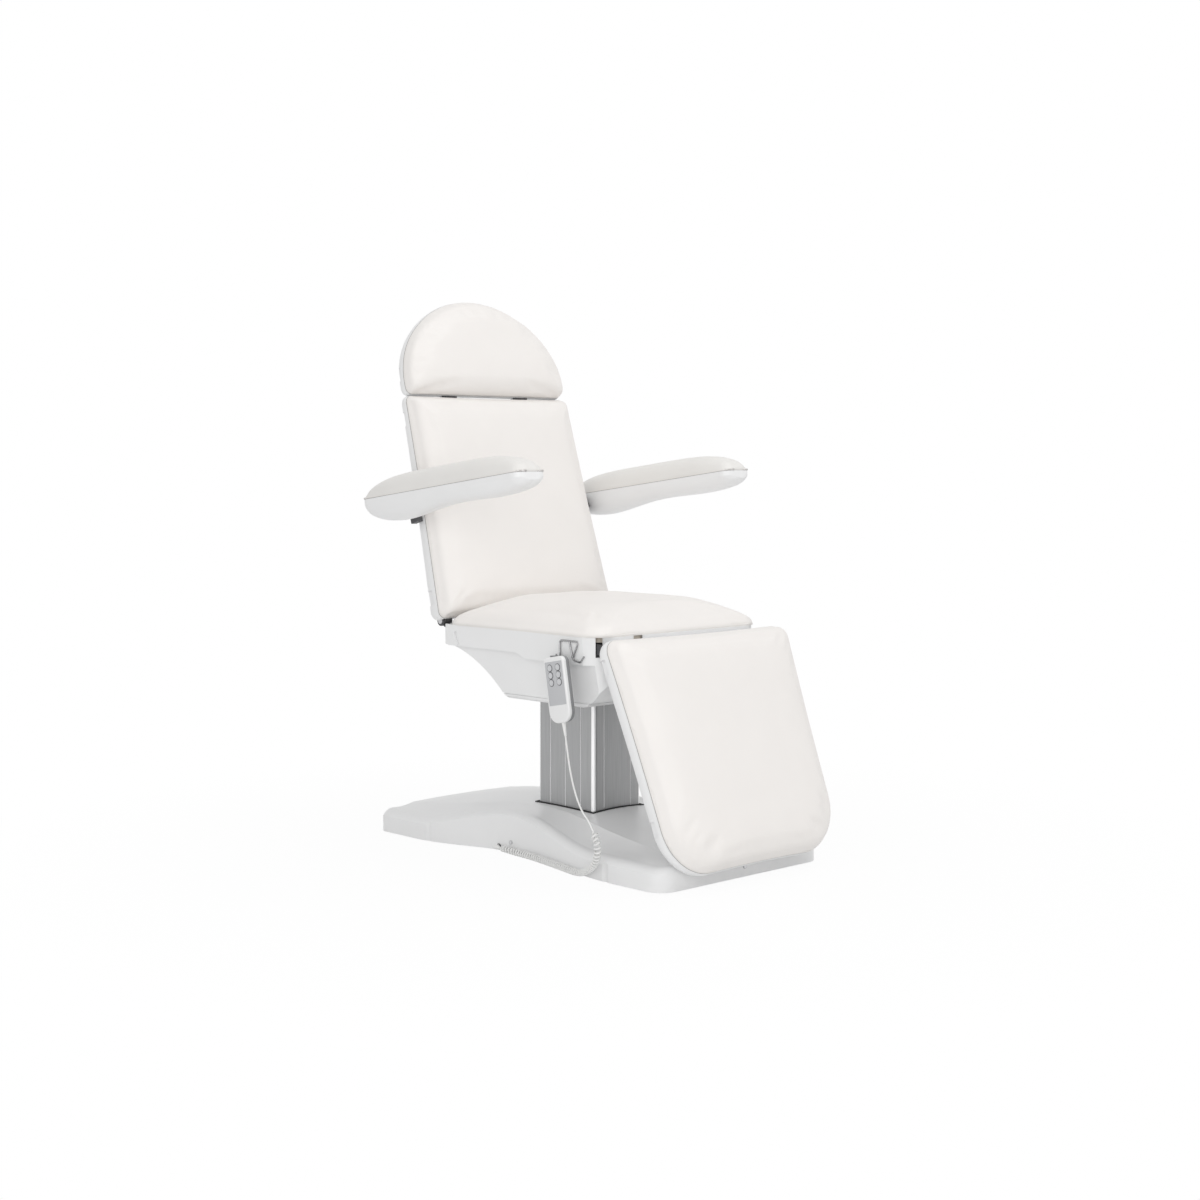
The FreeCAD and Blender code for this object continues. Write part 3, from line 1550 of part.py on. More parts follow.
def handset_hook():
    """Bent wire on the underbody's band: a hanger for the handset's clip beside an open hook."""
    x = hook_plane()
    tip = x - 2 * hook_bend
    bottom = hook_valley - hook_bend
    meet = V(x, hook_y - hook_meet, hook_valley + hook_wire)
    arm = meet + V(0, -hook_arm, -2 * hook_wire)
    points = [
        V(tip, hook_y, hook_valley + hook_tip), V(tip, hook_y, bottom), V(x, hook_y, bottom),
        V(x, hook_y, hook_top), V(x, hook_y - hook_span, hook_top), meet, arm,
        arm + V(0, -hook_arm / 2, hook_tip)]
    radii = [hook_bend * 0.999, hook_bend * 0.999] + [hook_bend] * 4
    branch = rod(V(x, hook_y - hook_branch, hook_top), meet + V(0, 0, 2 * hook_wire), hook_wire)
    return fuse([tube(bent_path(points, radii), hook_wire), branch])


# Handset cord

def relief_end():
    return handset_place.multVec(V(0, -handset_length / 2 - relief_length - seat_gap - cord_gap, 0))


lead_points = [
    V(handset_x, -258, 253), V(handset_x, -269, 216), V(handset_x, -284, 182), V(handset_x, -302, 156)]
coil_points = [
    V(handset_x, -334, 121), V(handset_x, -345, 104), V(-306, -348, 85), V(-302, -341, 64),
    V(-294, -325, 45), V(-284, -301, 29), V(-274, -272, 17)]
floor_route = [(-264, -238), (-248, -169), (-227, -79), (-216, -12), (-213, 36)]


def soft_path(points):
    """A path whose bends take up most of the shorter run beside each of them."""
    radii = []
    for i in range(1, len(points) - 1):
        before = points[i - 1] - points[i]
        after = points[i + 1] - points[i]
        half = before.getAngle(after) / 2
        radii.append(0.45 * min(before.Length, after.Length) * math.tan(half))
    return bent_path(points, radii), min(radii)


def lead_path():
    start = relief_end()
    join = coil_points[0]
    points = [start, start - handset_up * lead_run] + lead_points
    back = (join - coil_points[1]).normalize()
    points += [join + back * lead_end_run, join + back * cord_gap]
    return soft_path(points)


def cord_lead():
    edges, bend = lead_path()
    lead = tube(edges, cord_radius)
    length = sum(edge.Length for edge in edges)
    print("lead: length %.1f, least bend %.1f, volume over section times length %.4f" % (
        length, bend, lead.Volume / (math.pi * cord_radius ** 2 * length)))
    return lead


def plug_face():
    """Where the coil's tail meets its elbow plug."""
    x = -plan_half(socket_y) - socket_lip - plug_offset
    return V(x, socket_y - plug_length, socket_z)


def coil_axis():
    """Middle line of the curly cord, from the lead down to the floor and along the base to its plug."""
    height = coil_radius + cord_radius + coil_clear
    end = plug_face()
    points = list(coil_points)
    points += [V(x, y, height) for x, y in floor_route]
    points += [end - V(0, plug_length, 0), end]
    return Part.Wire(soft_path(points)[0])


def coil_path():
    """Helix round the coil's middle line, as biarcs of a half turn each."""
    line = coil_axis()
    samples = 40 * coil_turns
    spots = line.discretize(samples + 1)
    tangents = []
    for i in range(samples + 1):
        ahead = spots[min(i + 1, samples)] - spots[max(i - 1, 0)]
        tangents.append(ahead.normalize())
    normal = tangents[0].cross(V(1, 0, 0)).normalize()
    normals = [normal]
    for i in range(1, samples + 1):
        normal = normal - tangents[i] * normal.dot(tangents[i])
        normal = V(normal).normalize()
        normals.append(normal)

    def at(share):
        """Point of the helix, whose radius grows from nothing at both ends."""
        place = min(max(share, 0.0), 1.0) * samples
        i = min(int(place), samples - 1)
        f = place - i
        centre = spots[i] * (1 - f) + spots[i + 1] * f
        heading = V(tangents[i] * (1 - f) + tangents[i + 1] * f).normalize()
        normal = V(normals[i] * (1 - f) + normals[i + 1] * f).normalize()
        side = heading.cross(normal)
        angle = 2 * math.pi * coil_turns * share
        turns_in = min(share, 1 - share) * coil_turns / coil_lead_in
        grow = min(turns_in, 1.0)
        grow = grow * grow * (3 - 2 * grow)
        return centre + (normal * math.cos(angle) + side * math.sin(angle)) * (coil_radius * grow)

    return at


def biarc(start, start_heading, end, end_heading):
    """Two tangent arcs from one point and heading to another."""
    chord = end - start
    both = start_heading + end_heading
    a = 2 * (1 - start_heading.dot(end_heading))
    b = 2 * chord.dot(both)
    c = -chord.dot(chord)
    reach = (-b + math.sqrt(b * b - 4 * a * c)) / (2 * a) if abs(a) > 1e-9 else -c / b
    first = start + start_heading * reach
    second = end - end_heading * reach
    join = (first + second) * 0.5
    return [tangent_arc(start, start_heading, join), tangent_arc(end, end_heading * -1, join, True)]


def tangent_arc(start, heading, end, backwards=False):
    """Arc from a point along a heading to another point, run the other way if asked."""
    chord = end - start
    along = chord.dot(heading)
    side = chord - heading * along
    if side.Length < 1e-7:
        return curve((end, start)) if backwards else curve((start, end))
    radius = chord.dot(chord) / (2 * side.Length)
    side = V(side).normalize()
    half = math.atan2(chord.dot(side), along)
    middle = start + heading * (radius * math.sin(half)) + side * (radius * (1 - math.cos(half)))
    return curve((end, middle, start)) if backwards else curve((start, middle, end))


def cord_coil():
    at = coil_path()
    steps = 2 * coil_turns
    tiny = 1e-4
    points = [at(i / steps) for i in range(steps + 1)]
    headings = []
    for i in range(steps + 1):
        ahead = at(min(i / steps + tiny, 1.0)) - at(max(i / steps - tiny, 0.0))
        headings.append(ahead.normalize())
    edges = []
    for i in range(steps):
        edges += biarc(points[i], headings[i], points[i + 1], headings[i + 1])
    path = Part.Wire(edges)
    spots = path.discretize(24 * coil_turns)
    gap = self_gap(spots, 16)
    coil = tube(edges, cord_radius)
    length = path.Length
    print("coil: wire %.0f, least gap %.2f, volume over section times length %.4f" % (
        length, gap, coil.Volume / (math.pi * cord_radius ** 2 * length)))
    return coil


def self_gap(spots, apart):
    """Least distance between the wire's own surfaces, measured on points more than half a turn apart."""
    least = 1e9
    reach = 40
    for i in range(len(spots)):
        for j in range(i + apart, min(i + reach, len(spots))):
            least = min(least, (spots[i] - spots[j]).Length)
    return least - 2 * cord_radius


def cord_plug():
    """Elbow plug of the handset cord in the base's socket."""
    face = plug_face()
    elbow = V(face.x, socket_y, socket_z)
    stub = rod(V(-plan_half(socket_y) - socket_lip, socket_y, socket_z), elbow, plug_radius)
    knuckle = Part.makeSphere(plug_radius, elbow)
    neck = Part.makeCone(plug_radius, plug_neck, plug_length - cord_gap, elbow, V(0, -1, 0))
    return fuse([stub, knuckle, neck])


def main():
    os.makedirs("parts", exist_ok=True)
    export("base_cover", base_cover())
    export("base_frame", base_frame())
    export("levelling_feet", levelling_feet())
    export("cover_screws", cover_screws())
    export("power_inlet", power_inlet())
    export("cord_socket", cord_socket())
    export("column_outer", column_outer())
    export("column_bolts", column_bolts())
    export("column_seal", column_seal())
    export("lift_motor", lift_motor())
    export("column_middle", middle_tube())
    export("middle_glides", glides(middle_x, middle_y, column_foot + middle_foot))
    export("column_inner", inner_tube())
    export("inner_glides", glides(inner_x, inner_y, column_foot + inner_foot))
    export("lift_spindle", lift_spindle())
    export("seat_frame", seat_frame())
    export("seat_tub", seat_tub())
    export("seat_board", seat_board())
    export("seat_cushion", seat_cushion())
    export("back_hinge_pins", hinge_pins(back_hinge_y, back_hinge_z))
    export("leg_hinge_pins", hinge_pins(leg_hinge_y, leg_hinge_z))
    export("control_box", control_box())
    export("back_motor", motor_body(actuator_x, back_motor_front, back_motor_rear, back_actuator_z,
                                    1, back_bore))
    export("leg_motor", motor_body(-actuator_x, leg_motor_front, leg_motor_rear, leg_actuator_z,
                                   -1, leg_bore))
    back_eye = back_hinge_y + back_crank_y
    back_low = back_hinge_z - math.hypot(back_crank_y, back_crank_z)
    export("back_rod", push_rod(actuator_x, back_actuator_z, back_rod_start, back_eye, back_low,
                                back_hinge_z + back_crank_z, 1))
    leg_eye = leg_hinge_y + leg_crank_y
    leg_low = leg_hinge_z - math.hypot(leg_crank_y, leg_crank_z)
    export("leg_rod", push_rod(-actuator_x, leg_actuator_z, leg_rod_start, leg_eye, leg_low,
                               leg_hinge_z + leg_crank_z, -1))
    export("back_frame", back_frame())
    export("back_board", back_board())
    export("back_shell", back_shell())
    export("back_cushion", back_cushion())
    export("arm_pivots", arm_pivots())
    export("head_hinge_pin", head_hinge_pin())
    export("head_leaf", head_leaf())
    export("head_board", head_board())
    export("head_shell", head_shell())
    export("head_cushion", head_cushion())
    for name, side in (("right", -1), ("left", 1)):
        export("arm_shell_" + name, arm_shell(side))
        export("arm_pad_" + name, arm_pad(side))
    export("leg_frame", leg_frame())
    export("leg_board", leg_board())
    export("leg_shell", leg_shell())
    export("leg_cushion", leg_cushion())
    export("handset_front", placed(handset_front(), handset_place))
    export("handset_back", handset_back())
    export("keypad_panel", placed(keypad_panel(), handset_place))
    for number, (x, y) in enumerate(key_sites(), 1):
        export("key_" + str(number), placed(handset_key(x, y), handset_place))
    export("cord_relief", placed(cord_relief(), handset_place))
    export("handset_hook", handset_hook())
    export("cord_lead", cord_lead())
    export("cord_coil", cord_coil())
    export("cord_plug", cord_plug())


main()
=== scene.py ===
import bpy
import bmesh
import json
import math
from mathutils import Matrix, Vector


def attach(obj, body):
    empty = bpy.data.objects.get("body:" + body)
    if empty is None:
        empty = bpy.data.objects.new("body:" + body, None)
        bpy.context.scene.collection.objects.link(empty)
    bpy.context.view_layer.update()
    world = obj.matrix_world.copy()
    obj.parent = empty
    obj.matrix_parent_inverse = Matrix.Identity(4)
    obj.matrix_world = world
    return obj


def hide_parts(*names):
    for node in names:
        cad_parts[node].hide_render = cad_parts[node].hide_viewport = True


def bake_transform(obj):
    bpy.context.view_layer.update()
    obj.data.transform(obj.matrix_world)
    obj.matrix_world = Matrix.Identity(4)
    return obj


# Electric beauty chair. Lengths are metres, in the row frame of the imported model.
# The solids get their finishes; the pads, the cords, the seams and the key rings are made here.

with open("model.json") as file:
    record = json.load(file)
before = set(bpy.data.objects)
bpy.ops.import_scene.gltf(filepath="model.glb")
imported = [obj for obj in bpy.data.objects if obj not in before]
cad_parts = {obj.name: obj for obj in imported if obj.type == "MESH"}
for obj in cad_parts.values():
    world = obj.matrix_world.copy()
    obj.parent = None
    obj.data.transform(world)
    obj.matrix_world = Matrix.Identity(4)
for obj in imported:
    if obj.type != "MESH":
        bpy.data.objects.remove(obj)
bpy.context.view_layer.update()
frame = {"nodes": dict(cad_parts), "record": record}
nodes = frame["nodes"]
scene = bpy.context.scene
scene.view_settings.view_transform = "Standard"

# The column's axis stands this far behind the row's origin.
COLUMN_Y = 0.04105


def at(x, y, z):
    """A point given in millimetres about the column's axis."""
    return Vector((x / 1000, y / 1000 + COLUMN_Y, z / 1000))


# Materials

class NodeTree:
    """A shader's node tree with short ways to add nodes and links."""

    def __init__(self, tree):
        self.tree = tree

    def node(self, kind, **settings):
        """A new node; a setting is one of its properties or an input's value, with _ for a space."""
        made = self.tree.nodes.new(kind)
        for key, value in settings.items():
            if hasattr(made, key):
                setattr(made, key, value)
            else:
                made.inputs[key.replace("_", " ")].default_value = value
        return made

    def link(self, output, socket):
        self.tree.links.new(output, socket)

    def math(self, operation, first, second=None):
        """The result of a Math node; the second input is a socket or a number."""
        made = self.node("ShaderNodeMath", operation=operation)
        self.link(first, made.inputs[0])
        if isinstance(second, float):
            made.inputs[1].default_value = second
        elif second is not None:
            self.link(second, made.inputs[1])
        return made.outputs[0]

    def spread(self, value, low, high, start=0.0, end=1.0):
        """A value that runs from start to end, made to run from low to high."""
        made = self.node("ShaderNodeMapRange", From_Min=start, From_Max=end, To_Min=low, To_Max=high)
        self.link(value, made.inputs["Value"])
        return made.outputs["Result"]

    def show_mix(self, share, first, second, output):
        """Sends a mix of two shaders to the output node of this name."""
        mix = self.node("ShaderNodeMixShader")
        self.link(share, mix.inputs["Fac"])
        self.link(first, mix.inputs[1])
        self.link(second, mix.inputs[2])
        self.link(mix.outputs["Shader"], self.tree.nodes[output].inputs["Surface"])


class Shader(NodeTree):
    """A Principled material with helpers for object-space texture nodes."""

    def __init__(self, name, color, roughness, **settings):
        self.material = bpy.data.materials.new(name)
        self.material.use_nodes = True
        super().__init__(self.material.node_tree)
        self.main = self.tree.nodes["Principled BSDF"]
        self.main.inputs["Base Color"].default_value = (*color, 1)
        self.main.inputs["Roughness"].default_value = roughness
        for key, value in settings.items():
            self.main.inputs[key.replace("_", " ")].default_value = value
        self.place = self.node("ShaderNodeTexCoord").outputs["Object"]

    def stretched(self, scale):
        """Object coordinates, each axis multiplied by its scale."""
        mapping = self.node("ShaderNodeMapping", Scale=scale)
        self.link(self.place, mapping.inputs["Vector"])
        return mapping.outputs["Vector"]

    def noise(self, size, detail=2.0, roughness=0.5, vector=None):
        """Noise whose patches are about this size in metres."""
        made = self.node("ShaderNodeTexNoise", Scale=1 / size, Detail=detail, Roughness=roughness)
        self.link(vector or self.place, made.inputs["Vector"])
        return made.outputs["Fac"]

    def cells(self, size):
        """Distance from the middle of pebbles of about this size in metres."""
        made = self.node("ShaderNodeTexVoronoi", Scale=1 / size)
        self.link(self.place, made.inputs["Vector"])
        return made.outputs["Distance"]

    def tint(self, fac, dark, light):
        """Base colour that drifts between two colours; gives the drifting colour."""
        ramp = self.node("ShaderNodeValToRGB")
        low, high = ramp.color_ramp.elements[0], ramp.color_ramp.elements[1]
        low.position = 0.3
        high.position = 0.7
        low.color = (*dark, 1)
        high.color = (*light, 1)
        self.link(fac, ramp.inputs["Fac"])
        self.link(ramp.outputs["Color"], self.main.inputs["Base Color"])
        return ramp.outputs["Color"]

    def rough(self, fac, low, high):
        """Roughness that drifts between two values."""
        self.link(self.spread(fac, low, high), self.main.inputs["Roughness"])

    def bump(self, fac, depth, strength):
        """Adds a relief of this depth in metres over the reliefs already there."""
        made = self.node("ShaderNodeBump", Strength=strength, Distance=depth)
        self.link(fac, made.inputs["Height"])
        normal = self.main.inputs["Normal"]
        if normal.is_linked:
            self.link(normal.links[0].from_socket, made.inputs["Normal"])
        self.link(made.outputs["Normal"], normal)


def darker(color, share):
    return tuple(part * share for part in color)


def leatherette(name, dark, light):
    """Coated upholstery cloth: pebbled grain, faint creasing and a soft sheen."""
    made = Shader(name, light, 0.5, Sheen_Weight=0.12, Sheen_Roughness=0.5, Specular_IOR_Level=0.4)
    made.tint(made.noise(size=0.09, detail=3.0), dark, light)
    made.rough(made.noise(size=0.004, detail=3.0), low=0.44, high=0.58)
    made.bump(made.noise(size=0.05), depth=0.0009, strength=0.25)
    made.bump(made.cells(size=0.0011), depth=0.00012, strength=0.5)
    made.bump(made.noise(size=0.0005), depth=0.00005, strength=0.5)
    return made.material


def plastic(name, dark, light, roughness, grain=0.0006, coat=0.0):
    """Moulded plastic: fine spark grain, slight flow shading and uneven gloss."""
    made = Shader(name, light, roughness, Coat_Weight=coat, Coat_Roughness=0.25)
    made.tint(made.noise(size=0.12), dark, light)
    made.rough(made.noise(size=0.01, detail=4.0), low=roughness - 0.05, high=roughness + 0.06)
    made.bump(made.noise(size=grain), depth=0.00004, strength=0.5)
    return made.material


def brush_lines(made, along, dark, light, roughness):
    """Brush lines along one axis in a metal's colour, gloss and relief; gives the colour."""
    scale = [1.0, 1.0, 1.0]
    scale["xyz".index(along)] = 0.012
    lines = made.noise(size=0.0012, detail=3.0, roughness=0.6, vector=made.stretched(scale))
    color = made.tint(lines, dark, light)
    made.rough(lines, low=roughness - 0.06, high=roughness + 0.08)
    made.bump(lines, depth=0.00002, strength=0.6)
    return color


def brushed(name, along, dark, light, roughness, metallic=1.0):
    """Metal with brush lines along one axis."""
    made = Shader(name, light, roughness, Metallic=metallic)
    brush_lines(made, along, dark, light, roughness)
    return made.material


# Half sizes of the outer column tube, beyond which its rounded corners and within which its grooves lie; they
# bound where the painted highlight goes
CORNER_X = 0.0755
CORNER_Y = 0.0935
GROOVE_X = 0.0794
GROOVE_Y = 0.0974


def column_with_painted_highlight(name, dark, light, painted_highlight, roughness, metallic):
    """Brushed profile with a painted highlight: a pale colour laid on its rounded corners and on the floors
    of its grooves.
    """
    made = Shader(name, light, roughness, Metallic=metallic)
    plain = brush_lines(made, "z", dark, light, roughness)
    shift = made.node("ShaderNodeVectorMath", operation="SUBTRACT")
    shift.inputs[1].default_value = (0, COLUMN_Y, 0)
    made.link(made.place, shift.inputs[0])
    split = made.node("ShaderNodeSeparateXYZ")
    made.link(shift.outputs["Vector"], split.inputs["Vector"])
    x = made.math("ABSOLUTE", split.outputs["X"])
    y = made.math("ABSOLUTE", split.outputs["Y"])
    beyond_x = made.math("GREATER_THAN", x, CORNER_X)
    beyond_y = made.math("GREATER_THAN", y, CORNER_Y)
    within_x = made.math("LESS_THAN", x, GROOVE_X)
    within_y = made.math("LESS_THAN", y, GROOVE_Y)
    # Where the painted highlight goes: the rounded corners and the floors of the grooves.
    corner_highlight = made.math("MULTIPLY", beyond_x, beyond_y)
    groove_highlight = made.math("MULTIPLY", within_x, within_y)
    mix = made.node("ShaderNodeMix", data_type="RGBA")
    share, first, second = mix.inputs[0], mix.inputs[6], mix.inputs[7]
    made.link(made.math("MAXIMUM", corner_highlight, groove_highlight), share)
    made.link(plain, first)
    second.default_value = (*painted_highlight, 1)
    made.link(mix.outputs[2], made.main.inputs["Base Color"])
    return made.material


def coated_steel(name, color):
    """Powder-coated steel with a fine relief."""
    made = Shader(name, color, 0.5, Metallic=0.2)
    made.tint(made.noise(size=0.03, detail=3.0), darker(color, 0.75), color)
    made.bump(made.noise(size=0.0009), depth=0.0001, strength=0.5)
    return made.material


def rubber(name, color):
    """Dull rubber with a fine relief."""
    made = Shader(name, color, 0.75, Specular_IOR_Level=0.3)
    made.tint(made.noise(size=0.02, detail=3.0), darker(color, 0.7), color)
    made.bump(made.noise(size=0.0008, detail=3.0), depth=0.0001, strength=0.5)
    return made.material


def plywood(name):
    """Plywood with its grain along the panels."""
    made = Shader(name, (0.66, 0.60, 0.52), 0.6)
    lengthwise = made.stretched([1.0, 0.08, 0.08])
    grain = made.noise(size=0.006, detail=4.0, roughness=0.6, vector=lengthwise)
    made.tint(grain, (0.58, 0.52, 0.44), (0.70, 0.64, 0.56))
    made.bump(grain, depth=0.0001, strength=0.4)
    return made.material


white_shell = plastic("white_shell", (0.845, 0.846, 0.847), (0.865, 0.866, 0.867), 0.36, coat=0.15)
pad_cloth = leatherette("leatherette", (0.872, 0.843, 0.817), (0.885, 0.856, 0.83))
arm_cloth = leatherette("arm_leatherette", (0.80, 0.785, 0.76), (0.82, 0.805, 0.78))
# The welt's cloth is a little darker than the pad's: painted shade along the seam.
piping_cloth_painted_shade = leatherette("piping", (0.80, 0.775, 0.75), (0.83, 0.805, 0.78))
# Dark strand colour: a painted shadow line along the seam, below the welt.
seam_shadow_line = leatherette("seam_shadow_line", (0.36, 0.35, 0.34), (0.42, 0.41, 0.40))
satin = {"dark": (0.34, 0.343, 0.347), "light": (0.44, 0.443, 0.447), "roughness": 0.42, "metallic": 0.8}
# The pale colour is a painted highlight on the column's rounded corners and in its grooves.
column_metal = column_with_painted_highlight("column_profile_painted_highlight", painted_highlight=(0.9, 0.9, 0.905), **satin)
stage_metal = brushed("satin_aluminium", "z", **satin)
pin_metal = brushed("bright_steel", "x", (0.50, 0.50, 0.51), (0.62, 0.62, 0.63), 0.3)
chrome = brushed("chrome_wire", "z", (0.24, 0.24, 0.245), (0.46, 0.46, 0.465), 0.12)
dark_steel = coated_steel("dark_steel", (0.08, 0.08, 0.085))
black_plastic = plastic("black_plastic", (0.03, 0.03, 0.032), (0.045, 0.045, 0.048), 0.5)
slip_plastic = plastic("slip_plastic", (0.70, 0.70, 0.68), (0.76, 0.76, 0.74), 0.5)
foot_rubber = rubber("rubber_foot", (0.035, 0.035, 0.036))
board_wood = plywood("plywood")
handset_white = plastic("handset_white", (0.80, 0.80, 0.80), (0.85, 0.85, 0.85), 0.34, coat=0.2)
handset_grey = plastic("handset_grey", (0.22, 0.225, 0.23), (0.28, 0.285, 0.29), 0.42)
panel_grey = plastic("panel_grey", (0.50, 0.505, 0.52), (0.54, 0.545, 0.56), 0.45, grain=0.0003)
key_grey = plastic("key_grey", (0.58, 0.585, 0.60), (0.62, 0.625, 0.64), 0.4, grain=0.0003)
ring_grey = plastic("key_ring", (0.05, 0.052, 0.055), (0.07, 0.072, 0.075), 0.45, grain=0.0003)
cord_white = plastic("cord_white", (0.82, 0.82, 0.81), (0.86, 0.86, 0.85), 0.42, grain=0.0004)

slot_materials = {
    "white_shell": white_shell, "leatherette": pad_cloth, "arm_leatherette": arm_cloth,
    "satin_aluminium": stage_metal, "dark_steel": dark_steel, "bright_steel": pin_metal,
    "chrome_wire": chrome, "black_plastic": black_plastic, "slip_plastic": slip_plastic,
    "rubber_foot": foot_rubber, "plywood": board_wood, "handset_white": handset_white,
    "handset_grey": handset_grey, "panel_grey": panel_grey, "key_grey": key_grey, "cord_white": cord_white}
node_materials = {"column_outer": column_metal}


def coat(mesh, material):
    """Gives a mesh this material alone."""
    mesh.materials.clear()
    mesh.materials.append(material)


def shade_smooth(mesh):
    for face in mesh.polygons:
        face.use_smooth = True


for subpart in frame["record"]["subparts"]:
    slot_material = slot_materials[subpart["material_slot"]]
    coat(nodes[subpart["node"]].data, node_materials.get(subpart["node"], slot_material))


def add(name, mesh, material, body):
    """A mesh piece with its finish, riding on a body when one is given."""
    piece = bpy.data.objects.new(name, mesh)
    scene.collection.objects.link(piece)
    coat(mesh, material)
    shade_smooth(mesh)
    if body:
        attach(piece, body)
    return piece


def evaluated(piece):
    """A new mesh of a piece with its modifiers."""
    graph = bpy.context.evaluated_depsgraph_get()
    return bpy.data.meshes.new_from_object(piece.evaluated_get(graph))


def apply_modifiers(piece):
    piece.data = evaluated(piece)
    piece.modifiers.clear()


def curve_through(name, kind, points):
    """An object in the scene with one spline through the points."""
    curve = bpy.data.curves.new(name, "CURVE")
    curve.dimensions = "3D"
    spline = curve.splines.new(kind)
    spline.points.add(len(points) - 1)
    for spot, point in zip(spline.points, points):
        spot.co = (*point, 1)
    shape = bpy.data.objects.new(name, curve)
    scene.collection.objects.link(shape)
    return shape


def skin(name, rings, closed):
    """A mesh over rings of points, joined into a loop or capped at both ends."""
    build = bmesh.new()
    loops = []
    for ring in rings:
        loops.append([build.verts.new(point) for point in ring])
    pairs = list(zip(loops, loops[1:]))
    if closed:
        pairs.append((loops[-1], loops[0]))
    for a, b in pairs:
        for k in range(len(a)):
            after = (k + 1) % len(a)
            build.faces.new((a[k], a[after], b[after], b[k]))
    if not closed:
        build.faces.new(list(reversed(loops[0])))
        build.faces.new(loops[-1])
    mesh = bpy.data.meshes.new(name)
    bmesh.ops.recalc_face_normals(build, faces=build.faces)
    build.to_mesh(mesh)
    build.free()
    return mesh


# Panel planes: a point of the seam plane, the direction along the panel and the way its face looks

def lean(point, degrees, up):
    """Plane of a panel that leans off upright; it rises from the point with up 1 and hangs with up -1."""
    turn = math.radians(degrees)
    along = Vector((0, up * math.sin(turn), up * math.cos(turn)))
    return point, along, Vector((0, -math.cos(turn), math.sin(turn)))


BACK_TO_HEAD = 0.5705
ARM_RIM = 0.011
ARM_TURN = math.radians(7.16)

SEAT_PLANE = (at(0, 0, 542), Vector((0, 1, 0)), Vector((0, 0, 1)))
BACK_PLANE = lean(at(0, 229, 554), 16.1, 1)
HEAD_PLANE = (BACK_PLANE[0] + BACK_PLANE[1] * BACK_TO_HEAD, BACK_PLANE[1], BACK_PLANE[2])
LEG_PLANE = lean(at(0, -352.6, 540.2), 21.3, -1)
ARM_NORMAL = Vector((0, math.sin(ARM_TURN), math.cos(ARM_TURN)))
ARM_ALONG = Vector((0, -math.cos(ARM_TURN), math.sin(ARM_TURN)))
ARM_PLANE = (at(0, 399, 829.5) + ARM_NORMAL * ARM_RIM, ARM_ALONG, ARM_NORMAL)


# Stuffed pads. Near the seam a pad is drawn onto the CAD pad and held; both fade out with height.
WRAP_HEIGHT = 0.008
WRAP_FADE = 0.012
GRIP_HEIGHT = 0.004
GRIP_FADE = 0.008
RELAX_STEPS = 5
TIGHT_STEPS = 8
CLOTH_FRAMES = 20


def hold(vertex, plane, height, fade):
    """1 up to this height over the seam plane, falling to 0 over the fade."""
    origin, _, normal = plane
    above = (vertex.co - origin).dot(normal)
    return 1 - min(max((above - height) / fade, 0), 1)


def add_smoothing(pad, steps):
    made = pad.modifiers.new("relax", "SMOOTH")
    made.factor = 0.5
    made.iterations = steps
    return made


def soft_pad(node_name, body, slot, material, plane, voxel, shrink, cap, pressure, fill):
    """A stuffed pad: the CAD pad remeshed, drawn in a little and blown up again as cloth held at its seam."""
    name = node_name.replace("cushion", "upholstery").replace("pad", "upholstery")
    pad = bpy.data.objects.new(name, nodes[node_name].data.copy())
    scene.collection.objects.link(pad)
    remesh = pad.modifiers.new("remesh", "REMESH")
    remesh.mode = "VOXEL"
    remesh.voxel_size = voxel
    add_smoothing(pad, RELAX_STEPS)
    apply_modifiers(pad)
    edge = pad.vertex_groups.new(name="edge")
    for vertex in pad.data.vertices:
        edge.add([vertex.index], hold(vertex, plane, WRAP_HEIGHT, WRAP_FADE), "REPLACE")
    wrap = pad.modifiers.new("wrap", "SHRINKWRAP")
    wrap.target = nodes[node_name]
    wrap.vertex_group = "edge"
    apply_modifiers(pad)
    pad.vertex_groups.clear()
    held = pad.vertex_groups.new(name="held")
    outward = [vertex.normal.copy() for vertex in pad.data.vertices]
    for vertex, out in zip(pad.data.vertices, outward):
        grip = hold(vertex, plane, GRIP_HEIGHT, GRIP_FADE)
        vertex.co -= out * shrink * (1 - grip)
        held.add([vertex.index], grip, "REPLACE")
    blow_up(pad, pressure, cap)
    smooth = pad.modifiers.new("smooth", "SUBSURF")
    smooth.levels = 1
    smooth.render_levels = 1
    coat(pad.data, material)
    shade_smooth(pad.data)
    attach(pad, body)
    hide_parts(node_name)


def blow_up(pad, pressure, cap):
    """Cloth under inner pressure for a few frames; no point moves further than the cap."""
    rest = [vertex.co.copy() for vertex in pad.data.vertices]
    cloth = pad.modifiers.new("cloth", "CLOTH")
    cloth.settings.use_pressure = True
    cloth.settings.uniform_pressure_force = pressure
    cloth.settings.vertex_group_mass = "held"
    cloth.settings.quality = 4
    cloth.settings.mass = 0.3
    cloth.settings.tension_stiffness = 20
    cloth.settings.compression_stiffness = 20
    cloth.settings.shear_stiffness = 8
    cloth.settings.bending_stiffness = 1.5
    cloth.settings.effector_weights.gravity = 0
    cloth.point_cache.frame_start = 1
    cloth.point_cache.frame_end = CLOTH_FRAMES
    for number in range(1, CLOTH_FRAMES + 1):
        scene.frame_set(number)
    apply_modifiers(pad)
    for vertex, start in zip(pad.data.vertices, rest):
        move = vertex.co - start
        if move.length > cap:
            vertex.co = start + move * (cap / move.length)
    scene.frame_set(1)
    tight = add_smoothing(pad, TIGHT_STEPS)
    tight.vertex_group = "held"
    tight.invert_vertex_group = True
    apply_modifiers(pad)


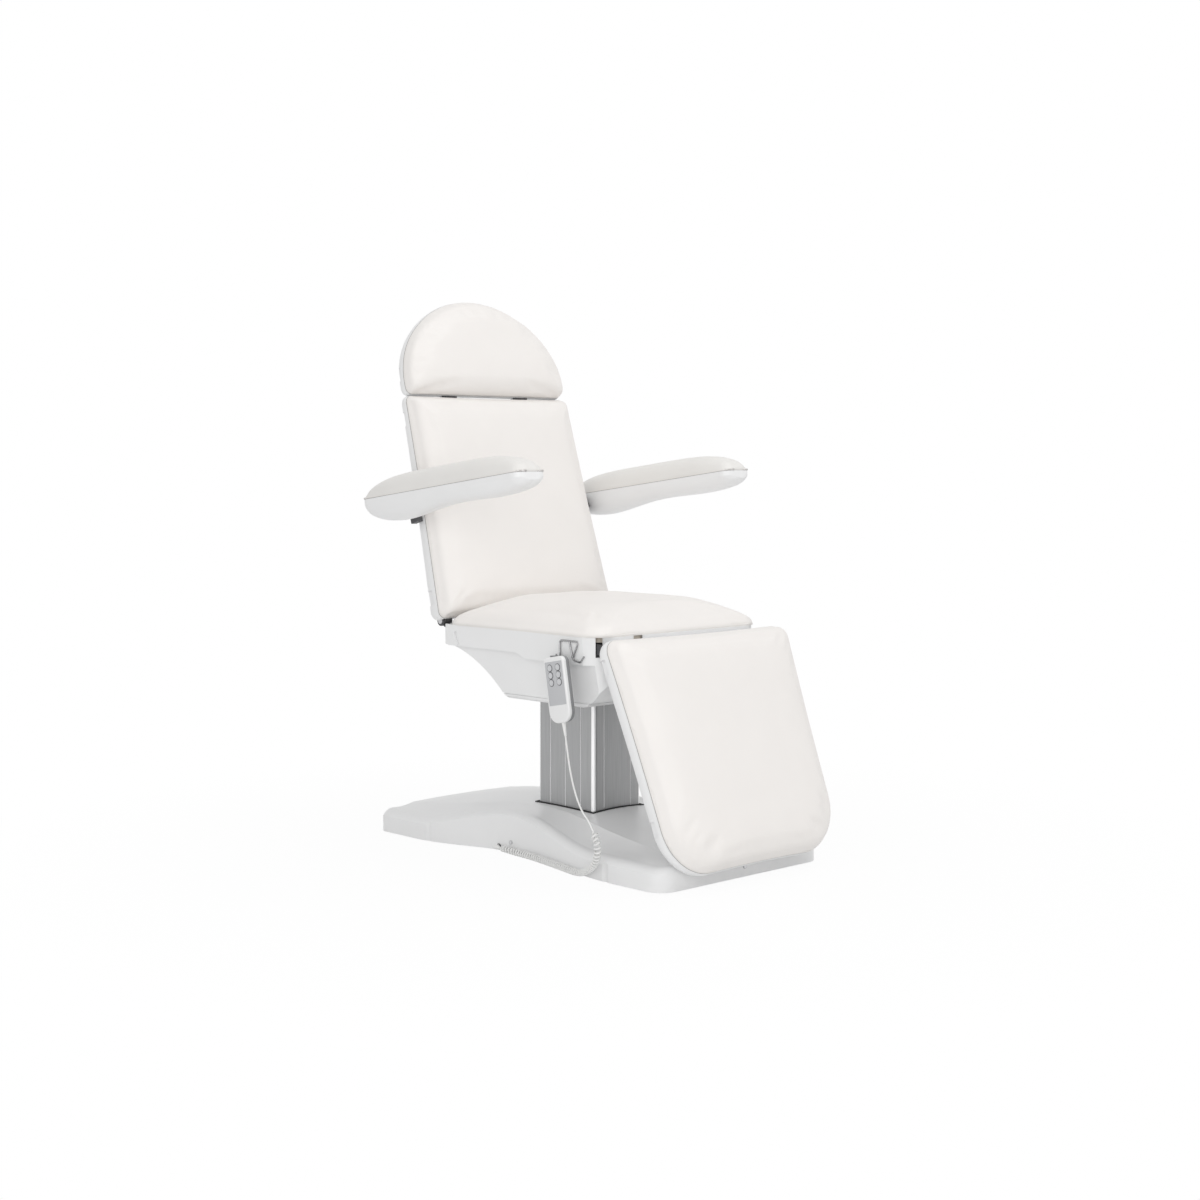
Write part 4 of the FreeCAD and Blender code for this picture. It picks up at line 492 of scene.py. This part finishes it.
# Seams: a welt along the outline of each pad, its cloth toned a little darker than the pad as painted shade,
# and below it a thin strand in a dark colour, a painted shadow line along the seam; on the seat the strand
# has the welt's colour
WELT_RADIUS = 0.0026
WELT_INSET = 0.0018
SEAM_LINE_RADIUS = 0.0008
SEAM_LINE_OUT = 0.0002
SEAM_LINE_HEIGHT = 0.0005
SEAM_DEPTH = 0.0002
SEAM_STEP = 0.002


def seam_loop(node_name, plane, inset, height):
    """Points of the CAD pad's outline in its seam plane, set in or out and lifted along the face."""
    origin, along, normal = plane
    mesh = nodes[node_name].data
    low = min((vertex.co - origin).dot(normal) for vertex in mesh.vertices)
    ring = []
    for vertex in mesh.vertices:
        if (vertex.co - origin).dot(normal) < low + SEAM_DEPTH:
            ring.append(vertex.co.copy())
    across = along.cross(normal)
    centre = sum(ring, Vector()) / len(ring)

    def turn(point):
        return math.atan2((point - centre).dot(across), (point - centre).dot(along))

    ring.sort(key=turn)
    kept = []
    for point in ring:
        if not kept or (point - kept[-1]).length > SEAM_STEP:
            kept.append(point)
    outline = []
    for i, point in enumerate(kept):
        run = kept[(i + 1) % len(kept)] - kept[i - 1]
        out = run.cross(normal).normalized()
        if out.dot(point - centre) < 0:
            out = -out
        outline.append(point - out * inset + normal * height)
    return outline


def piping(name, points, radius, material, body):
    """Closed round strand along a seam."""
    shape = curve_through(name, "POLY", points)
    shape.data.bevel_depth = radius
    shape.data.bevel_resolution = 3
    shape.data.splines[0].use_cyclic_u = True
    mesh = evaluated(shape)
    bpy.data.objects.remove(shape)
    add(name, mesh, material, body)


def trim(node_name, plane, body):
    """The welt round a pad, toned darker as painted shade, and below it a thin strand, dark as a painted
    shadow line except on the seat.
    """
    place = node_name.split("_")[0]
    side = node_name.partition("pad")[2]
    welt = seam_loop(node_name, plane, WELT_INSET, WELT_RADIUS)
    piping(place + "_piping" + side, welt, WELT_RADIUS, piping_cloth_painted_shade, body)
    # Below the welt a thin strand, dark as a painted shadow line; on the seat it has the welt's colour.
    seam_line_points = seam_loop(node_name, plane, -SEAM_LINE_OUT, SEAM_LINE_HEIGHT)
    seam_line_material = piping_cloth_painted_shade if place == "seat" else seam_shadow_line
    piping(place + "_seam" + side, seam_line_points, SEAM_LINE_RADIUS, seam_line_material, body)


cushion = {"slot": "leatherette", "material": pad_cloth, "shrink": 0.003, "cap": 0.005, "pressure": 3.0}
arm_pad = {
    "slot": "arm_leatherette", "material": arm_cloth, "plane": ARM_PLANE, "voxel": 0.004, "shrink": 0.002,
    "cap": 0.003, "pressure": 4.0, "fill": 0.85}
pads = {
    "seat_cushion": dict(cushion, body="carriage", plane=SEAT_PLANE, voxel=0.006, fill=0.75),
    "back_cushion": dict(cushion, body="back", plane=BACK_PLANE, voxel=0.006, fill=0.8),
    "head_cushion": dict(cushion, body="head", plane=HEAD_PLANE, voxel=0.005, fill=0.8),
    "leg_cushion": dict(cushion, body="leg", plane=LEG_PLANE, voxel=0.006, fill=0.8),
    "arm_pad_right": dict(arm_pad, body="arm_right"),
    "arm_pad_left": dict(arm_pad, body="arm_left")}
for node_name, pad in pads.items():
    soft_pad(node_name, **pad)
    trim(node_name, pad["plane"], pad["body"])


# Handset cord: the route's points are those of the CAD tubes, in millimetres; other lengths are metres
CORD_RADIUS = 0.002
LEAD_SIDES = 16
COIL_RADIUS = 0.0063
COIL_TURNS = 56
COIL_STEPS = 24
COIL_SIDES = 10
ROUTE_STEPS = 24
RELIEF_REACH = 0.1044
RELIEF_DROP = 0.034
LEAD_STRAIGHT = 0.024
CORD_GAP = 0.0001
PLUG_STRAIGHT = 0.018

HANDSET_X = -307
HANDSET_CENTRE = at(HANDSET_X, -226, 424)
HANDSET_TURN = math.radians(10.4)
HANDSET_UP = Vector((0, math.sin(HANDSET_TURN), math.cos(HANDSET_TURN)))
HANDSET_OUT = Vector((-1, 0, 0))

relief_end = HANDSET_CENTRE - HANDSET_UP * RELIEF_REACH
coil_start = at(HANDSET_X, -334, 121)
coil_second = at(HANDSET_X, -345, 104)
lead_back = (coil_start - coil_second).normalized()
lead_route = [
    relief_end, relief_end - HANDSET_UP * RELIEF_DROP, at(HANDSET_X, -258, 253), at(HANDSET_X, -269, 216),
    at(HANDSET_X, -284, 182), at(HANDSET_X, -302, 156), coil_start + lead_back * LEAD_STRAIGHT,
    coil_start + lead_back * CORD_GAP]
plug_face = at(-214.9, 82, 11.5)
coil_route = [
    coil_start, coil_second, at(-306, -348, 85), at(-302, -341, 64), at(-294, -325, 45), at(-284, -301, 29),
    at(-274, -272, 17), at(-264, -238, 8.6), at(-248, -169, 8.6), at(-227, -79, 8.6), at(-216, -12, 8.6),
    at(-213, 36, 8.6), plug_face - Vector((0, PLUG_STRAIGHT, 0)), plug_face]


def route_points(points):
    """Points along an open NURBS spline of order 3, read back from Blender."""
    shape = curve_through("route", "NURBS", points)
    spline = shape.data.splines[0]
    spline.resolution_u = ROUTE_STEPS
    spline.order_u = 3
    spline.use_endpoint_u = True
    line = bpy.data.meshes.new_from_object(shape)
    found = [vertex.co.copy() for vertex in line.vertices]
    bpy.data.objects.remove(shape)
    return found


def even(points, count):
    """The same line as evenly spaced points."""
    runs = [0.0]
    for a, b in zip(points, points[1:]):
        runs.append(runs[-1] + (b - a).length)
    spaced = []
    i = 0
    for step in range(count + 1):
        goal = runs[-1] * step / count
        while i < len(points) - 2 and runs[i + 1] < goal:
            i += 1
        share = (goal - runs[i]) / max(runs[i + 1] - runs[i], 1e-9)
        spaced.append(points[i].lerp(points[i + 1], share))
    return spaced


def sides_along(points):
    """Two steady side vectors, square to the line, at each of its points."""
    found = []
    normal = None
    for i in range(len(points)):
        heading = (points[min(i + 1, len(points) - 1)] - points[max(i - 1, 0)]).normalized()
        if normal is None:
            normal = heading.cross(Vector((1, 0, 0))).normalized()
        normal = (normal - heading * normal.dot(heading)).normalized()
        found.append((normal, heading.cross(normal)))
    return found


def helix(points, turns, radius, per_turn):
    """A curl round a line, growing out of it and back into it over a turn at each end."""
    count = turns * per_turn
    line = even(points, count)
    curl = []
    for i, (spot, (normal, side)) in enumerate(zip(line, sides_along(line))):
        angle = 2 * math.pi * i / per_turn
        grow = min(i, count - i, per_turn) / per_turn
        grow = grow * grow * (3 - 2 * grow)
        curl.append(spot + (normal * math.cos(angle) + side * math.sin(angle)) * radius * grow)
    return curl


def tube_mesh(name, points, radius, sides):
    """Round tube along points, closed at both ends."""
    rings = []
    for spot, (normal, side) in zip(points, sides_along(points)):
        ring = []
        for k in range(sides):
            turn = 2 * math.pi * k / sides
            ring.append(spot + (normal * math.cos(turn) + side * math.sin(turn)) * radius)
        rings.append(ring)
    return skin(name, rings, closed=False)


lead_line = route_points(lead_route)
lead_mesh = tube_mesh("handset_lead", lead_line, CORD_RADIUS, LEAD_SIDES)
lead = add("handset_lead", lead_mesh, cord_white, "carriage")
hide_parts("cord_lead")

curl = helix(route_points(coil_route), COIL_TURNS, COIL_RADIUS, COIL_STEPS)
coil_mesh = tube_mesh("handset_coil", curl, CORD_RADIUS, COIL_SIDES)
coil = add("handset_coil", coil_mesh, cord_white, None)
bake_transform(coil)
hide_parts("cord_coil")


# Key rings on the handset, in millimetres
KEY_ROWS = 3
KEY_COLUMNS = 2
KEY_PITCH_X = 26.0
KEY_PITCH_Y = 16.5
KEY_FIRST = 50.0
RING_RADIUS = 7.8
RING_HALF_WIDTH = 0.55
RING_HALF_HEIGHT = 0.45
RING_LEVEL = 10.75
RING_STEPS = 40
RING_SIDES = 10


def handset_point(x, y, z):
    """A point of the handset: across, up and out of its face, in millimetres."""
    across = HANDSET_UP.cross(HANDSET_OUT)
    return HANDSET_CENTRE + (across * x + HANDSET_UP * y + HANDSET_OUT * z) / 1000


def key_ring(name, x, y):
    """A ring on the key panel round the key at x, y."""
    loops = []
    for i in range(RING_STEPS):
        turn = 2 * math.pi * i / RING_STEPS
        loop = []
        for k in range(RING_SIDES):
            roll = 2 * math.pi * k / RING_SIDES
            reach = RING_RADIUS + RING_HALF_WIDTH * math.cos(roll)
            level = RING_LEVEL + RING_HALF_HEIGHT * math.sin(roll)
            loop.append(handset_point(x + reach * math.cos(turn), y + reach * math.sin(turn), level))
        loops.append(loop)
    add(name, skin(name, loops, closed=True), ring_grey, "carriage")


for row in range(KEY_ROWS):
    for column in range(KEY_COLUMNS):
        number = row * KEY_COLUMNS + column + 1
        key_ring("key_ring_%d" % number, (column - 0.5) * KEY_PITCH_X, KEY_FIRST - row * KEY_PITCH_Y)


# Floor, light and camera
WHITE = (1, 1, 1, 1)
FLOOR_HALF = 30.0
FLOOR_GREY = 0.86
SKY_STRENGTH = 0.66


def camera_white(made, share):
    """How much plain white the camera and mirrors see of a surface; share is a number or a socket."""
    rays = made.node("ShaderNodeLightPath").outputs
    seen = made.math("MAXIMUM", rays["Is Camera Ray"], rays["Is Glossy Ray"])
    through = made.math("MAXIMUM", seen, rays["Is Transmission Ray"])
    return made.math("MULTIPLY", through, share)


# The floor shows white, with a faint shadow that fades out away from the chair.
floor_finish = Shader("floor_white", (FLOOR_GREY, FLOOR_GREY, FLOOR_GREY), 0.9)
glow = floor_finish.node("ShaderNodeEmission", Color=WHITE)
away = floor_finish.node("ShaderNodeVectorMath", operation="LENGTH")
floor_finish.link(floor_finish.place, away.inputs[0])
whiteness = floor_finish.spread(away.outputs["Value"], low=0.95, high=1.0, start=0.5, end=1.6)
floor_finish.show_mix(camera_white(floor_finish, whiteness), floor_finish.main.outputs["BSDF"],
                      glow.outputs["Emission"], "Material Output")

floor_mesh = bpy.data.meshes.new("floor")
floor_corners = [
    (-FLOOR_HALF, -FLOOR_HALF, 0), (FLOOR_HALF, -FLOOR_HALF, 0),
    (FLOOR_HALF, FLOOR_HALF, 0), (-FLOOR_HALF, FLOOR_HALF, 0)]
floor_mesh.from_pydata(floor_corners, [], [(0, 1, 2, 3)])
floor = bpy.data.objects.new("floor", floor_mesh)
floor.data.materials.append(floor_finish.material)
scene.collection.objects.link(floor)

# The world lights softly and shows plain white.
world = bpy.data.worlds.new("studio")
scene.world = world
world.use_nodes = True
sky = NodeTree(world.node_tree)
soft = world.node_tree.nodes["Background"]
soft.inputs["Color"].default_value = WHITE
soft.inputs["Strength"].default_value = SKY_STRENGTH
plain = sky.node("ShaderNodeBackground", Color=WHITE, Strength=1.0)
sky.show_mix(camera_white(sky, 1.0), soft.outputs["Background"], plain.outputs["Background"], "World Output")


def lamp(name, place, aim, size, energy):
    """A square area lamp aimed at a point."""
    light = bpy.data.lights.new(name, "AREA")
    light.size = size
    light.energy = energy
    made = bpy.data.objects.new(name, light)
    made.location = place
    made.rotation_euler = (Vector(aim) - Vector(place)).to_track_quat("-Z", "Y").to_euler()
    scene.collection.objects.link(made)


lamp("key", place=(0.5, -1.7, 4.1), aim=(0, 0, 0.6), size=2.6, energy=42)
lamp("fill", place=(-2.7, -2.2, 1.1), aim=(0, 0, 0.5), size=2.6, energy=30)

view = bpy.data.cameras.new("photo_camera")
view.sensor_width = 36.0
view.lens = 57.93
view.shift_x = 0.0089
view.shift_y = -0.1172
view.clip_end = 100.0
camera = bpy.data.objects.new("photo_camera", view)
camera.location = (-3.2465, -3.4054 + COLUMN_Y, 0.9403)
camera.rotation_euler = (math.radians(90), 0, math.radians(-43.63))
scene.collection.objects.link(camera)
scene.camera = camera
